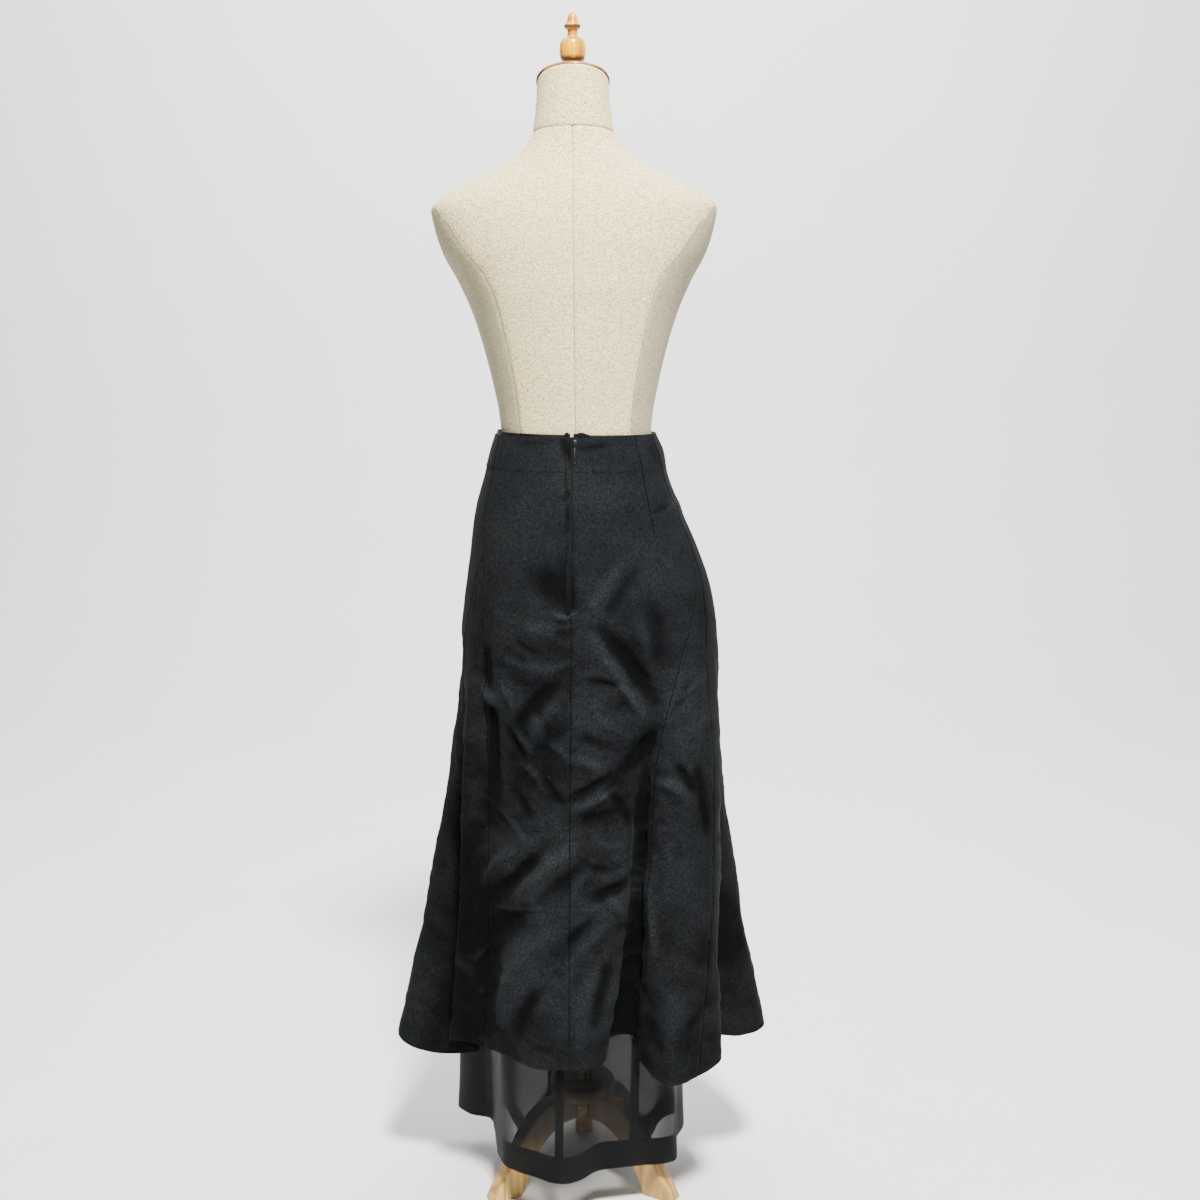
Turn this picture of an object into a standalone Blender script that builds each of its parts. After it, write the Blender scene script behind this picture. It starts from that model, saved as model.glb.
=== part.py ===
"""A long wool skirt with a sheer underskirt, on a linen dress form with a wooden tripod stand.

Metres, +Z up. The origin is on the floor under the pole. The front faces -Y and the back +Y.
The wearer's right side is at -X, the left side at +X.
"""

import math

import bmesh
import bpy
import numpy as np

for old in list(bpy.data.objects):
    bpy.data.objects.remove(old, do_unlink=True)

# Driving dimensions
WOOL_T = 0.0016  # wool cloth
SHEER_T = 0.0010  # sheer cloth
FACING_T = 0.0012  # waist facing
TAPE_T = 0.0010  # zip tape
GAP = 0.0003  # between two pieces that touch

WAIST_Z = 1.092  # upper edge of the wool at the waist
FACING_H = 0.045  # depth of the waist facing
GODET_TOP_Z = 0.945  # point of the side godets
SHEER_TOP_Z = WAIST_Z - FACING_H - GAP
SHEER_HEM_H = 0.038  # turned hem of the underskirt

ZIP_END_Z = 0.866  # lower end of the back opening
LAP_W = 0.015  # width of the lap over the zip
LAP_T = 0.0012
TAPE_W = 0.012
CHAIN_W = 0.0036

FORM_BOTTOM_Z = 0.735
NECK_R = 0.0465
NECK_TILT = math.radians(18.0)  # the neck's top slopes down to the front
NECK_TOP_Z = 1.5495  # at the axis, under the cap
CAP_T = 0.006
CAP_R = 0.0480
POLE_R = 0.0140
HUB_R = 0.0470
HUB_TOP_Z = 0.152
HUB_BOTTOM_Z = 0.130
LEG_T = 0.026  # plank thickness of a leg
LEG_CHAMFER = 0.003

# Sections of the form: height, half width, back, front
FORM_ROWS = [
    (0.735, 0.1380, 0.1040, -0.0900),
    (0.760, 0.1430, 0.1080, -0.0940),
    (0.817, 0.1475, 0.1150, -0.0980),
    (0.874, 0.1450, 0.1125, -0.0990),
    (0.930, 0.1385, 0.1030, -0.0980),
    (0.985, 0.1290, 0.0920, -0.0945),
    (1.040, 0.1140, 0.0808, -0.0885),
    (1.092, 0.1020, 0.0722, -0.0820),
    (1.121, 0.1045, 0.0745, -0.0845),
    (1.148, 0.1095, 0.0785, -0.0900),
    (1.201, 0.1220, 0.0860, -0.1040),
    (1.254, 0.1385, 0.0920, -0.1210),
    (1.294, 0.1560, 0.0960, -0.1290),
    (1.333, 0.1765, 0.0960, -0.1210),
    (1.365, 0.1860, 0.0930, -0.1040),
    (1.388, 0.1895, 0.0880, -0.0900),
    (1.402, 0.1770, 0.0840, -0.0820),
    (1.420, 0.1450, 0.0775, -0.0740),
    (1.440, 0.1030, 0.0680, -0.0660),
    (1.460, 0.0700, 0.0600, -0.0580),
    (1.482, 0.0535, 0.0530, -0.0520),
]

# Sections of the wool skirt above the folds: height, left half, right half, back, front
RING_ROWS = [
    (0.760, 0.1605, 0.1980, 0.1290, -0.1180),
    (0.817, 0.1605, 0.1935, 0.1270, -0.1130),
    (0.874, 0.1550, 0.1850, 0.1210, -0.1090),
    (0.930, 0.1475, 0.1680, 0.1110, -0.1050),
    (0.985, 0.1402, 0.1442, 0.1000, -0.1010),
    (1.040, 0.1254, 0.1240, 0.0890, -0.0960),
    (1.067, 0.1182, 0.1192, 0.0835, -0.0920),
    (1.092, 0.1100, 0.1080, 0.0785, -0.0885),
]

# Fold lines of the wool skirt, from the centre back round by the right side.
# name, places at waist, godet point and hip in degrees, x and y at thigh, knee and hem, height of the hem
WOOL_LINES = [
    ("centre_back", -2, -1.5, -2, 0.011, 0.130, 0.014, 0.137, 0.016, 0.150, 0.237),
    ("back_r1", 24, 19, 14, -0.038, 0.125, -0.027, 0.132, -0.010, 0.146, 0.237),
    ("back_r2", 45, 40, 28, -0.073, 0.117, -0.058, 0.123, -0.033, 0.130, 0.238),
    ("fold_r1", 53, 52, 34, -0.083, 0.100, -0.066, 0.091, -0.042, 0.079, 0.250),
    ("fold_r2", 60, 61, 38, -0.092, 0.098, -0.085, 0.090, -0.074, 0.079, 0.250),
    ("godet_r1", 67, 69, 43, -0.101, 0.113, -0.092, 0.108, -0.078, 0.092, 0.228),
    ("godet_r2", 68, 70, 53, -0.147, 0.118, -0.141, 0.134, -0.120, 0.150, 0.215),
    ("godet_r3", 69, 71, 60, -0.182, 0.092, -0.178, 0.112, -0.160, 0.132, 0.219),
    ("side_r1", 75, 77, 70, -0.193, 0.066, -0.192, 0.083, -0.194, 0.100, 0.228),
    ("side_r2", 84, 85, 81, -0.190, 0.038, -0.182, 0.041, -0.178, 0.045, 0.235),
    ("side_r3", 93, 93, 92, -0.198, 0.012, -0.216, 0.017, -0.230, 0.024, 0.226),
    ("side_r4", 103, 103, 103, -0.200, -0.016, -0.230, -0.006, -0.263, 0.000, 0.2285),
    ("front_r1", 127, 126, 122, -0.180, -0.085, -0.210, -0.098, -0.243, -0.095, 0.232),
    ("front_r2", 146, 145, 143, -0.128, -0.126, -0.148, -0.144, -0.167, -0.157, 0.232),
    ("front_r3", 163, 163, 162, -0.072, -0.127, -0.080, -0.128, -0.088, -0.127, 0.236),
    ("centre_front", 180, 180, 180, 0.000, -0.141, 0.000, -0.154, 0.000, -0.166, 0.232),
    ("front_l3", 197, 197, 198, 0.066, -0.127, 0.078, -0.128, 0.088, -0.127, 0.236),
    ("front_l2", 214, 214, 217, 0.120, -0.124, 0.142, -0.142, 0.167, -0.157, 0.232),
    ("front_l1", 233, 233, 238, 0.166, -0.080, 0.202, -0.095, 0.243, -0.095, 0.226),
    ("side_l4", 268, 270, 268, 0.184, -0.006, 0.222, -0.002, 0.265, 0.000, 0.2155),
    ("side_l3", 280, 285, 278, 0.175, 0.016, 0.194, 0.016, 0.224, 0.016, 0.199),
    ("godet_l3", 294.5, 301.5, 288, 0.157, 0.036, 0.153, 0.029, 0.150, 0.024, 0.205),
    ("godet_l2", 295.5, 302.5, 298, 0.158, 0.066, 0.171, 0.061, 0.189, 0.051, 0.235),
    ("godet_l1", 296.5, 303.5, 311, 0.123, 0.081, 0.129, 0.076, 0.137, 0.080, 0.238),
    ("back_l1", 325, 329, 332, 0.085, 0.113, 0.095, 0.110, 0.106, 0.105, 0.238),
    ("back_l2", 343.5, 346, 346.5, 0.048, 0.126, 0.054, 0.128, 0.067, 0.140, 0.237),
]
HIP_Z = 0.80
THIGH_Z = 0.63
KNEE_Z = 0.42

# Sections of the underskirt on the form: height, half width, back, front
SHEER_RINGS = [
    (0.735, 0.1450, 0.1090, -0.0960),
    (0.817, 0.1515, 0.1178, -0.1025),
    (0.874, 0.1490, 0.1158, -0.1030),
    (0.930, 0.1423, 0.1060, -0.1015),
    (0.985, 0.1335, 0.0950, -0.0978),
    (1.047, 0.1182, 0.0838, -0.0928),
]

# Fold lines of the underskirt: name, place on the form in degrees, x and y at the calf and hem, height of the hem
SHEER_LINES = [
    ("centre_back", -4, 0.028, 0.126, 0.031, 0.141, 0.064),
    ("back_r1", 8, -0.004, 0.112, 0.008, 0.136, 0.064),
    ("back_r2", 24, -0.036, 0.070, -0.024, 0.108, 0.064),
    ("seam_r", 42, -0.078, 0.066, -0.072, 0.098, 0.064),
    ("back_r3", 62, -0.122, 0.066, -0.130, 0.080, 0.062),
    ("side_r1", 80, -0.138, 0.018, -0.136, 0.020, 0.060),
    ("side_r2", 97, -0.148, -0.028, -0.151, -0.030, 0.060),
    ("side_r3", 111, -0.142, -0.064, -0.145, -0.062, 0.058),
    ("side_r4", 123, -0.122, -0.066, -0.122, -0.052, 0.056),
    ("front_r1", 136, -0.096, -0.030, -0.092, 0.010, 0.052),
    ("front_r2", 150, -0.066, -0.108, -0.062, -0.104, 0.044),
    ("front_r3", 166, -0.030, -0.138, -0.030, -0.152, 0.036),
    ("front_l3", 184, 0.014, -0.138, 0.016, -0.152, 0.036),
    ("seam_l", 202, 0.054, -0.106, 0.052, -0.102, 0.044),
    ("front_l1", 222, 0.086, -0.030, 0.080, 0.016, 0.052),
    ("side_l5", 237, 0.124, -0.088, 0.125, -0.088, 0.058),
    ("side_l4", 249, 0.160, -0.106, 0.170, -0.108, 0.060),
    ("side_l3", 261, 0.182, -0.078, 0.192, -0.080, 0.062),
    ("side_l2", 273, 0.166, -0.048, 0.170, -0.054, 0.062),
    ("side_l1", 286, 0.142, -0.030, 0.140, -0.042, 0.062),
    ("back_l3", 300, 0.126, 0.030, 0.127, 0.030, 0.064),
    ("back_l2", 318, 0.106, 0.080, 0.112, 0.089, 0.064),
    ("back_l1", 338, 0.066, 0.108, 0.075, 0.119, 0.064),
]
CALF_Z = 0.27

# Edge profiles of a leg from the hub to the floor: distance from the pole and height, outside then inside
LEG_ROWS = [
    (0.0160, 0.1297, 0.0160, 0.0940),
    (0.0400, 0.1297, 0.0380, 0.0920),
    (0.0620, 0.1270, 0.0520, 0.0850),
    (0.0830, 0.1130, 0.0660, 0.0740),
    (0.1010, 0.0920, 0.0780, 0.0600),
    (0.1160, 0.0670, 0.0880, 0.0440),
    (0.1320, 0.0400, 0.0960, 0.0270),
    (0.1470, 0.0150, 0.1030, 0.0110),
    (0.1550, 0.0000, 0.1070, 0.0000),
]
LEG_PLACES = {"stand_leg_right": 60.0, "stand_leg_front": 180.0, "stand_leg_left": 300.0}

# Turned profile of the finial: radius and height above the cap
FINIAL_ROWS = [
    (0.0120, 0.0000),
    (0.0120, 0.0180),
    (0.0150, 0.0205),
    (0.0168, 0.0270),
    (0.0172, 0.0330),
    (0.0166, 0.0400),
    (0.0140, 0.0470),
    (0.0078, 0.0490),
    (0.0075, 0.0590),
    (0.0106, 0.0600),
    (0.0104, 0.0650),
    (0.0066, 0.0690),
    (0.0056, 0.0750),
    (0.0030, 0.0795),
]

MATERIALS = {
    "wool": (0.022, 0.022, 0.025, 0.9),
    "facing": (0.012, 0.012, 0.013, 0.7),
    "sheer": (0.020, 0.022, 0.024, 0.5),
    "zip": (0.015, 0.015, 0.016, 0.5),
    "linen": (0.68, 0.64, 0.55, 0.9),
    "wood": (0.60, 0.42, 0.22, 0.5),
}


def material(kind, name):
    r, g, b, rough = MATERIALS[kind]
    mat = bpy.data.materials.new(name)
    mat.use_nodes = True
    shader = mat.node_tree.nodes["Principled BSDF"]
    shader.inputs["Base Color"].default_value = (r, g, b, 1.0)
    shader.inputs["Roughness"].default_value = rough
    if name == "zip_slider" or name == "zip_pull":
        shader.inputs["Metallic"].default_value = 0.8
    return mat


def add_object(name, kind, verts, faces):
    mesh = bpy.data.meshes.new(name)
    mesh.from_pydata([tuple(float(c) for c in v) for v in verts], [], faces)
    bm = bmesh.new()
    bm.from_mesh(mesh)
    bmesh.ops.remove_doubles(bm, verts=bm.verts, dist=1e-6)
    bmesh.ops.recalc_face_normals(bm, faces=bm.faces)
    bmesh.ops.triangulate(bm, faces=bm.faces)
    bm.to_mesh(mesh)
    bm.free()
    obj = bpy.data.objects.new(name, mesh)
    obj.data.materials.append(material(kind, name))
    bpy.context.collection.objects.link(obj)
    return obj


def smooth(rows, at):
    """Values of a table at heights `at`, by monotone cubic steps between its rows."""
    t = np.array([r[0] for r in rows], float)
    v = np.array([r[1:] for r in rows], float)
    h = np.diff(t)[:, None]
    d = np.diff(v, axis=0) / h
    m = np.zeros_like(v)
    m[0], m[-1] = d[0], d[-1]
    for i in range(1, len(t) - 1):
        same = d[i - 1] * d[i] > 0
        w1, w2 = 2 * h[i] + h[i - 1], h[i] + 2 * h[i - 1]
        with np.errstate(divide="ignore", invalid="ignore"):
            mean = (w1 + w2) / (w1 / d[i - 1] + w2 / d[i])
        m[i] = np.where(same, mean, 0.0)
    at = np.clip(np.atleast_1d(at), t[0], t[-1])
    k = np.clip(np.searchsorted(t, at, side="right") - 1, 0, len(t) - 2)
    s = ((at - t[k]) / (t[k + 1] - t[k]))[:, None]
    hk = (t[k + 1] - t[k])[:, None]
    a = 2 * s**3 - 3 * s**2 + 1
    b = s**3 - 2 * s**2 + s
    c = -2 * s**3 + 3 * s**2
    e = s**3 - s**2
    return a * v[k] + b * hk * m[k] + c * v[k + 1] + e * hk * m[k + 1]


def oval(place, left, right, back, front, power=2.25):
    """Point of an oval section; `place` is in degrees from the centre back, by the right side."""
    a = math.radians(place)
    s, c = math.sin(a), math.cos(a)
    x = -math.copysign(abs(s) ** (2 / power), s)
    y = math.copysign(abs(c) ** (2 / power), c)
    middle = (back + front) / 2
    return np.array([x * (left if x > 0 else right), middle + (back - front) / 2 * y])


def round_trip(points, per_span):
    """Closed smooth curve through `points`, with per_span[i] steps after point i."""
    n = len(points)
    out = []
    for i in range(n):
        p0, p1, p2, p3 = (points[(i + j - 1) % n] for j in range(4))
        t0 = 0.0
        t1 = t0 + max(math.dist(p0, p1), 1e-5) ** 0.5
        t2 = t1 + max(math.dist(p1, p2), 1e-5) ** 0.5
        t3 = t2 + max(math.dist(p2, p3), 1e-5) ** 0.5
        for s in range(per_span[i]):
            t = t1 + (t2 - t1) * s / per_span[i]
            a1 = (t1 - t) / (t1 - t0) * p0 + (t - t0) / (t1 - t0) * p1
            a2 = (t2 - t) / (t2 - t1) * p1 + (t - t1) / (t2 - t1) * p2
            a3 = (t3 - t) / (t3 - t2) * p2 + (t - t2) / (t3 - t2) * p3
            b1 = (t2 - t) / (t2 - t0) * a1 + (t - t0) / (t2 - t0) * a2
            b2 = (t3 - t) / (t3 - t1) * a2 + (t - t1) / (t3 - t1) * a3
            out.append((t2 - t) / (t2 - t1) * b1 + (t - t1) / (t2 - t1) * b2)
    return np.array(out)


def inward(loop):
    """Unit directions into a closed plan curve that runs by way of -X (anticlockwise from above)."""
    ahead = np.roll(loop, -1, axis=0) - loop
    ahead /= np.maximum(np.linalg.norm(ahead, axis=1, keepdims=True), 1e-9)
    tangent = ahead + np.roll(ahead, 1, axis=0)
    tangent /= np.linalg.norm(tangent, axis=1, keepdims=True)
    return np.stack([-tangent[:, 1], tangent[:, 0]], axis=1)


class Sheet:
    """A hanging tube of cloth: rows from top to hem, columns round from the centre back.

    The first rows are level, at the heights in `upper`; the rest share out the way from there to
    the hem. Above `ring_z` a column runs down the oval section `ring`; below it, it passes the
    plan curves of the levels in turn.
    """

    def __init__(self, lines, steps, upper, shares, ring_z, places, ring, levels, hem):
        self.names = [line[0] for line in lines]
        self.start = np.concatenate([[0], np.cumsum(steps)])
        self.rows = len(upper) + len(shares)
        angles = []
        for i, line in enumerate(lines):
            here = places(line)
            after = places(lines[(i + 1) % len(lines)])
            if i == len(lines) - 1:
                after = [(z, a + 360.0) for z, a in after]
            for k in range(steps[i]):
                f = k / steps[i]
                angles.append([(z, a + (b - a) * f) for (z, a), (_, b) in zip(here, after)])
        curves = [(z, round_trip([np.array([line[c], line[c + 1]]) for line in lines], steps)) for z, c in levels]
        hem_plan = round_trip([np.array([line[hem], line[hem + 1]]) for line in lines], steps)
        hem_z = round_trip([np.array([line[hem + 2], line[hem]]) for line in lines], steps)[:, 0]
        count = len(angles)
        self.plan = np.zeros((self.rows, count, 2))
        self.z = np.zeros((self.rows, count))
        for u in range(count):
            def on_ring(z):
                return oval(np.interp(z, *zip(*angles[u])), *ring(z))

            low, high = on_ring(ring_z), on_ring(ring_z + 0.06)
            rows = [(hem_z[u], *hem_plan[u])]
            rows += [(z, *curve[u]) for z, curve in curves]
            rows += [(ring_z, *low), (ring_z + 0.06, *high)]
            heights = list(upper) + [upper[-1] + (hem_z[u] - upper[-1]) * share for share in shares]
            for r, z in enumerate(heights):
                self.plan[r, u] = on_ring(z) if z >= ring_z else smooth(rows, z)[0]
                self.z[r, u] = z
        self.normal = np.array([inward(loop) for loop in self.plan])

    def column(self, name):
        return int(self.start[self.names.index(name)])

    def point(self, r, u, depth):
        """Point at row r (may lie between rows) and column u (may lie between columns), `depth` inside."""
        n = self.plan.shape[1]
        r0 = min(int(math.floor(r)), self.rows - 2)
        fr = r - r0
        c0 = int(math.floor(u))
        fc = u - c0
        total = np.zeros(3)
        for rr, wr in ((r0, 1 - fr), (r0 + 1, fr)):
            for cc, wc in ((c0 % n, 1 - fc), ((c0 + 1) % n, fc)):
                if wr * wc == 0:
                    continue
                p = self.plan[rr, cc] + self.normal[rr, cc] * depth
                total += wr * wc * np.array([p[0], p[1], self.z[rr, cc]])
        return total

    def width(self, r, u):
        return max(np.linalg.norm(self.point(r, u + 0.5, 0) - self.point(r, u - 0.5, 0)), 1e-6)

    def row_at(self, z, u):
        """Row position where column u is at height z."""
        col = self.z[:, int(round(u)) % self.plan.shape[1]]
        return float(np.interp(-z, -col, np.arange(len(col))))


def strip(name, kind, outer, inner):
    """Closed solid between two grids of points with the same layout."""
    nr, nc = outer.shape[:2]
    verts = list(outer.reshape(-1, 3)) + list(inner.reshape(-1, 3))
    off = nr * nc
    faces = []
    for i in range(nr - 1):
        for j in range(nc - 1):
            a, b, c, d = i * nc + j, i * nc + j + 1, (i + 1) * nc + j + 1, (i + 1) * nc + j
            faces += [(a, b, c), (a, c, d)]
            faces += [(off + a, off + c, off + b), (off + a, off + d, off + c)]
    for j in range(nc - 1):
        for i in (0, nr - 1):
            a, b = i * nc + j, i * nc + j + 1
            faces += [(a, b, off + b), (a, off + b, off + a)]
    for i in range(nr - 1):
        for j in (0, nc - 1):
            a, b = i * nc + j, (i + 1) * nc + j
            faces += [(a, b, off + b), (a, off + b, off + a)]
    return add_object(name, kind, verts, faces)


def stack(name, kind, loops):
    """Closed solid through a stack of closed loops with the same number of points."""
    loops = np.array(loops)
    nr, nc = loops.shape[:2]
    verts = list(loops.reshape(-1, 3)) + [loops[0].mean(axis=0), loops[-1].mean(axis=0)]
    low, high = nr * nc, nr * nc + 1
    faces = []
    for j in range(nc):
        k = (j + 1) % nc
        faces.append((low, k, j))
        faces.append((high, (nr - 1) * nc + j, (nr - 1) * nc + k))
        for i in range(nr - 1):
            a, b, c, d = i * nc + j, i * nc + k, (i + 1) * nc + k, (i + 1) * nc + j
            faces += [(a, b, c), (a, c, d)]
    return add_object(name, kind, verts, faces)


def circle(radius, z, count, x=0.0, y=0.0):
    a = np.linspace(0, 2 * math.pi, count, endpoint=False)
    return np.stack([x + radius * np.cos(a), y + radius * np.sin(a), np.full(count, z)], axis=1)


def steps_for(lines, hem, place, size, radius, least=2):
    """Steps between each line and the next, from the wider of their spacing at the hem and on the form."""
    out = []
    for i, line in enumerate(lines):
        after = lines[(i + 1) % len(lines)]
        arc = math.radians((after[place] - line[place]) % 360.0) * radius
        wide = max(math.dist(line[hem:hem + 2], after[hem:hem + 2]), arc)
        out.append(max(least, round(wide / size)))
    return out


# Wool skirt
def wool_places(line):
    return [(HIP_Z, line[3]), (GODET_TOP_Z, line[2]), (WAIST_Z, line[1])]


def wool_ring(z):
    return smooth(RING_ROWS, z)[0]


wool_steps = steps_for(WOOL_LINES, 8, 2, 0.0200, 0.14)
wool_upper = [WAIST_Z, 1.067, 1.030, 0.987, GODET_TOP_Z + 0.0005, GODET_TOP_Z]
wool_shares = [0.07, 0.148, 0.227, 0.311, 0.396, 0.48, 0.577, 0.686, 0.795, 0.90, 1.0]
godet_row = len(wool_upper) - 1
wool = Sheet(
    WOOL_LINES, wool_steps, wool_upper, wool_shares, HIP_Z, wool_places, wool_ring,
    [(KNEE_Z, 6), (THIGH_Z, 4)], 8,
)
wool_rows = list(range(wool.rows))


def seam_u(r, u, side, sheet=wool):
    """Column place just to one side of a seam."""
    return u + side * GAP / 2 / sheet.width(r, u)


def godet_edges(first, last):
    """Column places of the seams either side of a godet, for the panels that meet above its point."""
    u1, u2 = wool.column(first), wool.column(last)
    if u2 < u1:
        u2 += wool.plan.shape[1]
    before, after = [], []
    for r in wool_rows:
        if r < godet_row:
            mid = (u1 + u2) / 2
            before.append(seam_u(r, mid, -1))
            after.append(seam_u(r, mid, 1))
        else:
            before.append(seam_u(r, u1, -1))
            after.append(seam_u(r, u2, 1))
    return before, after


cols = wool.plan.shape[1]
back_r_end, front_start = godet_edges("godet_r1", "godet_r3")
front_end, back_l_start = godet_edges("godet_l3", "godet_l1")


def panel(name, rows, left, right):
    """Wool panel between two edges given as column places, one for each row."""
    lo, hi = left[-1], right[-1]
    inner = [u for u in range(math.ceil(lo - 0.3), math.floor(hi + 0.3) + 1) if lo + 0.3 < u < hi - 0.3]
    outer_pts, inner_pts = [], []
    for i, r in enumerate(rows):
        us = [left[i]] + inner + [right[i]]
        outer_pts.append([wool.point(r, u, 0.0) for u in us])
        inner_pts.append([wool.point(r, u, WOOL_T) for u in us])
    return strip(name, "wool", np.array(outer_pts), np.array(inner_pts))


panel("wool_back_right", wool_rows, [seam_u(r, 0, 1) for r in wool_rows], back_r_end)
panel("wool_front", wool_rows, front_start, front_end)
panel("wool_back_left", wool_rows, back_l_start, [seam_u(r, cols, -1) for r in wool_rows])
godet_rows = wool_rows[godet_row:]
for name, first, last in (
    ("wool_godet_right", "godet_r1", "godet_r3"),
    ("wool_godet_left", "godet_l3", "godet_l1"),
):
    u1, u2 = wool.column(first), wool.column(last)
    panel(name, godet_rows, [seam_u(r, u1, 1) for r in godet_rows], [seam_u(r, u2, -1) for r in godet_rows])


# Waist facing, sewn inside the upper edge and standing a little above it
facing_end = TAPE_W * 0.55 / wool.width(0, 0)
facing_us = [facing_end] + [u for u in range(2, cols - 1) if u % 2 == 0] + [cols - facing_end]
facing_outer, facing_inner = [], []
for level in ("top", "waist", "row", "bottom"):
    ring_o, ring_i = [], []
    for u in facing_us:
        z = {
            "top": WAIST_Z + 0.0030 + 0.018 * wool.point(0, u, 0)[0],
            "waist": WAIST_Z,
            "row": wool.point(1, u, 0)[2],
            "bottom": WAIST_Z - FACING_H,
        }[level]
        r = wool.row_at(min(z, WAIST_Z), u)
        po = wool.point(r, u, WOOL_T + 1.5 * GAP)
        pi = wool.point(r, u, WOOL_T + 1.5 * GAP + FACING_T)
        po[2] = pi[2] = z
        ring_o.append(po)
        ring_i.append(pi)
    facing_outer.append(ring_o)
    facing_inner.append(ring_i)
strip("waist_facing", "facing", np.array(facing_outer), np.array(facing_inner))


# Zip in the centre back
def back_strip(name, kind, u_left, u_right, z_top, z_bottom, depth, thick, count=9, across=3, end_round=0.0):
    """Strip along the centre back seam; places are metres from the seam, to the right side."""
    outer, inner = [], []
    start = min(z_top, WAIST_Z)
    heights = [start + (z_bottom - start) * i / count for i in range(count + 1)]
    if z_top > WAIST_Z:
        heights = [z_top] + heights
    for z in heights:
        r = wool.row_at(min(z, WAIST_Z), 0)
        w = wool.width(r, 0)
        narrow = 1.0 - end_round if z == heights[-1] else 1.0
        middle, half = (u_left + u_right) / 2, (u_right - u_left) / 2 * narrow
        po_row, pi_row = [], []
        for j in range(across):
            u = (middle - half + 2 * half * j / (across - 1)) / w
            po = wool.point(r, u % cols, depth)
            pi = wool.point(r, u % cols, depth + thick)
            po[2] = pi[2] = z
            po_row.append(po)
            pi_row.append(pi)
        outer.append(po_row)
        inner.append(pi_row)
    return strip(name, kind, np.array(outer), np.array(inner))


tape_depth = WOOL_T + GAP
back_strip("zip_tape_right", "zip", CHAIN_W / 2 + GAP, CHAIN_W / 2 + TAPE_W / 2 - 0.0012, WAIST_Z + 0.004, ZIP_END_Z, tape_depth, TAPE_T, across=2)
back_strip("zip_tape_left", "zip", -CHAIN_W / 2 - TAPE_W / 2 + 0.0012, -CHAIN_W / 2 - GAP, WAIST_Z + 0.004, ZIP_END_Z, tape_depth, TAPE_T, across=2)
back_strip("zip_chain", "zip", -CHAIN_W / 2, CHAIN_W / 2, WAIST_Z - 0.012, ZIP_END_Z + 0.004, tape_depth, 0.0014, across=2)
back_strip("placket_lap", "wool", -LAP_W - 0.0004, -0.0004, WAIST_Z - 0.0005, ZIP_END_Z - 0.002, -GAP - LAP_T, LAP_T, across=4, end_round=0.25)


# Slider and pull tab at the top of the opening
SLIDER_TOP = WAIST_Z - 0.003
SLIDER_END = WAIST_Z - 0.012
PULL_END = WAIST_Z - 0.036
back_strip("zip_slider", "zip", 0.0008, 0.0060, SLIDER_TOP, SLIDER_END, -GAP - 0.0026, 0.0026, count=2, across=2)
back_strip("zip_pull", "zip", 0.0022, 0.0046, SLIDER_END - GAP, PULL_END, -GAP - 0.0018, 0.0010, count=3, across=2)


# Sheer underskirt
def sheer_places(line):
    return [(FORM_BOTTOM_Z, line[1]), (SHEER_TOP_Z, line[1])]


def sheer_ring(z):
    half, back, front = smooth(SHEER_RINGS, z)[0]
    return half, half, back, front


sheer_steps = steps_for(SHEER_LINES, 4, 1, 0.028, 0.14)
sheer_shares = [0.07, 0.15, 0.23, 0.32, 0.42, 0.53, 0.64, 0.75, 0.86, 0.955, 1.0]
sheer = Sheet(
    SHEER_LINES, sheer_steps, [SHEER_TOP_Z], sheer_shares, FORM_BOTTOM_Z, sheer_places, sheer_ring,
    [(CALF_Z, 2)], 4,
)
sheer_cols = sheer.plan.shape[1]
sheer_rows = list(range(sheer.rows))
for name, first, last in (
    ("sheer_back_right", "centre_back", "seam_r"),
    ("sheer_front", "seam_r", "seam_l"),
    ("sheer_back_left", "seam_l", "centre_back"),
):
    u1, u2 = sheer.column(first), sheer.column(last)
    if u2 <= u1:
        u2 += sheer_cols
    outer, inner = [], []
    for r in sheer_rows:
        us = [seam_u(r, u1, 1, sheer)] + list(range(u1 + 1, u2)) + [seam_u(r, u2, -1, sheer)]
        outer.append([sheer.point(r, u, 0.0) for u in us])
        inner.append([sheer.point(r, u, SHEER_T) for u in us])
    strip(name, "sheer", np.array(outer), np.array(inner))

hem_outer, hem_inner = [], []
hem_us = list(range(sheer_cols)) + [sheer_cols - 0.02]
for share in (0.0, 1.0):
    ring_o, ring_i = [], []
    for u in hem_us:
        hem_z = sheer.z[-1, int(round(u)) % sheer_cols]
        z = hem_z + SHEER_HEM_H * (1 - share)
        r = sheer.row_at(z, u)
        ring_o.append(sheer.point(r, u, SHEER_T + GAP))
        ring_i.append(sheer.point(r, u, 2 * SHEER_T + GAP))
    hem_outer.append(ring_o)
    hem_inner.append(ring_i)
strip("sheer_hem", "sheer", np.array(hem_outer), np.array(hem_inner))


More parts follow.
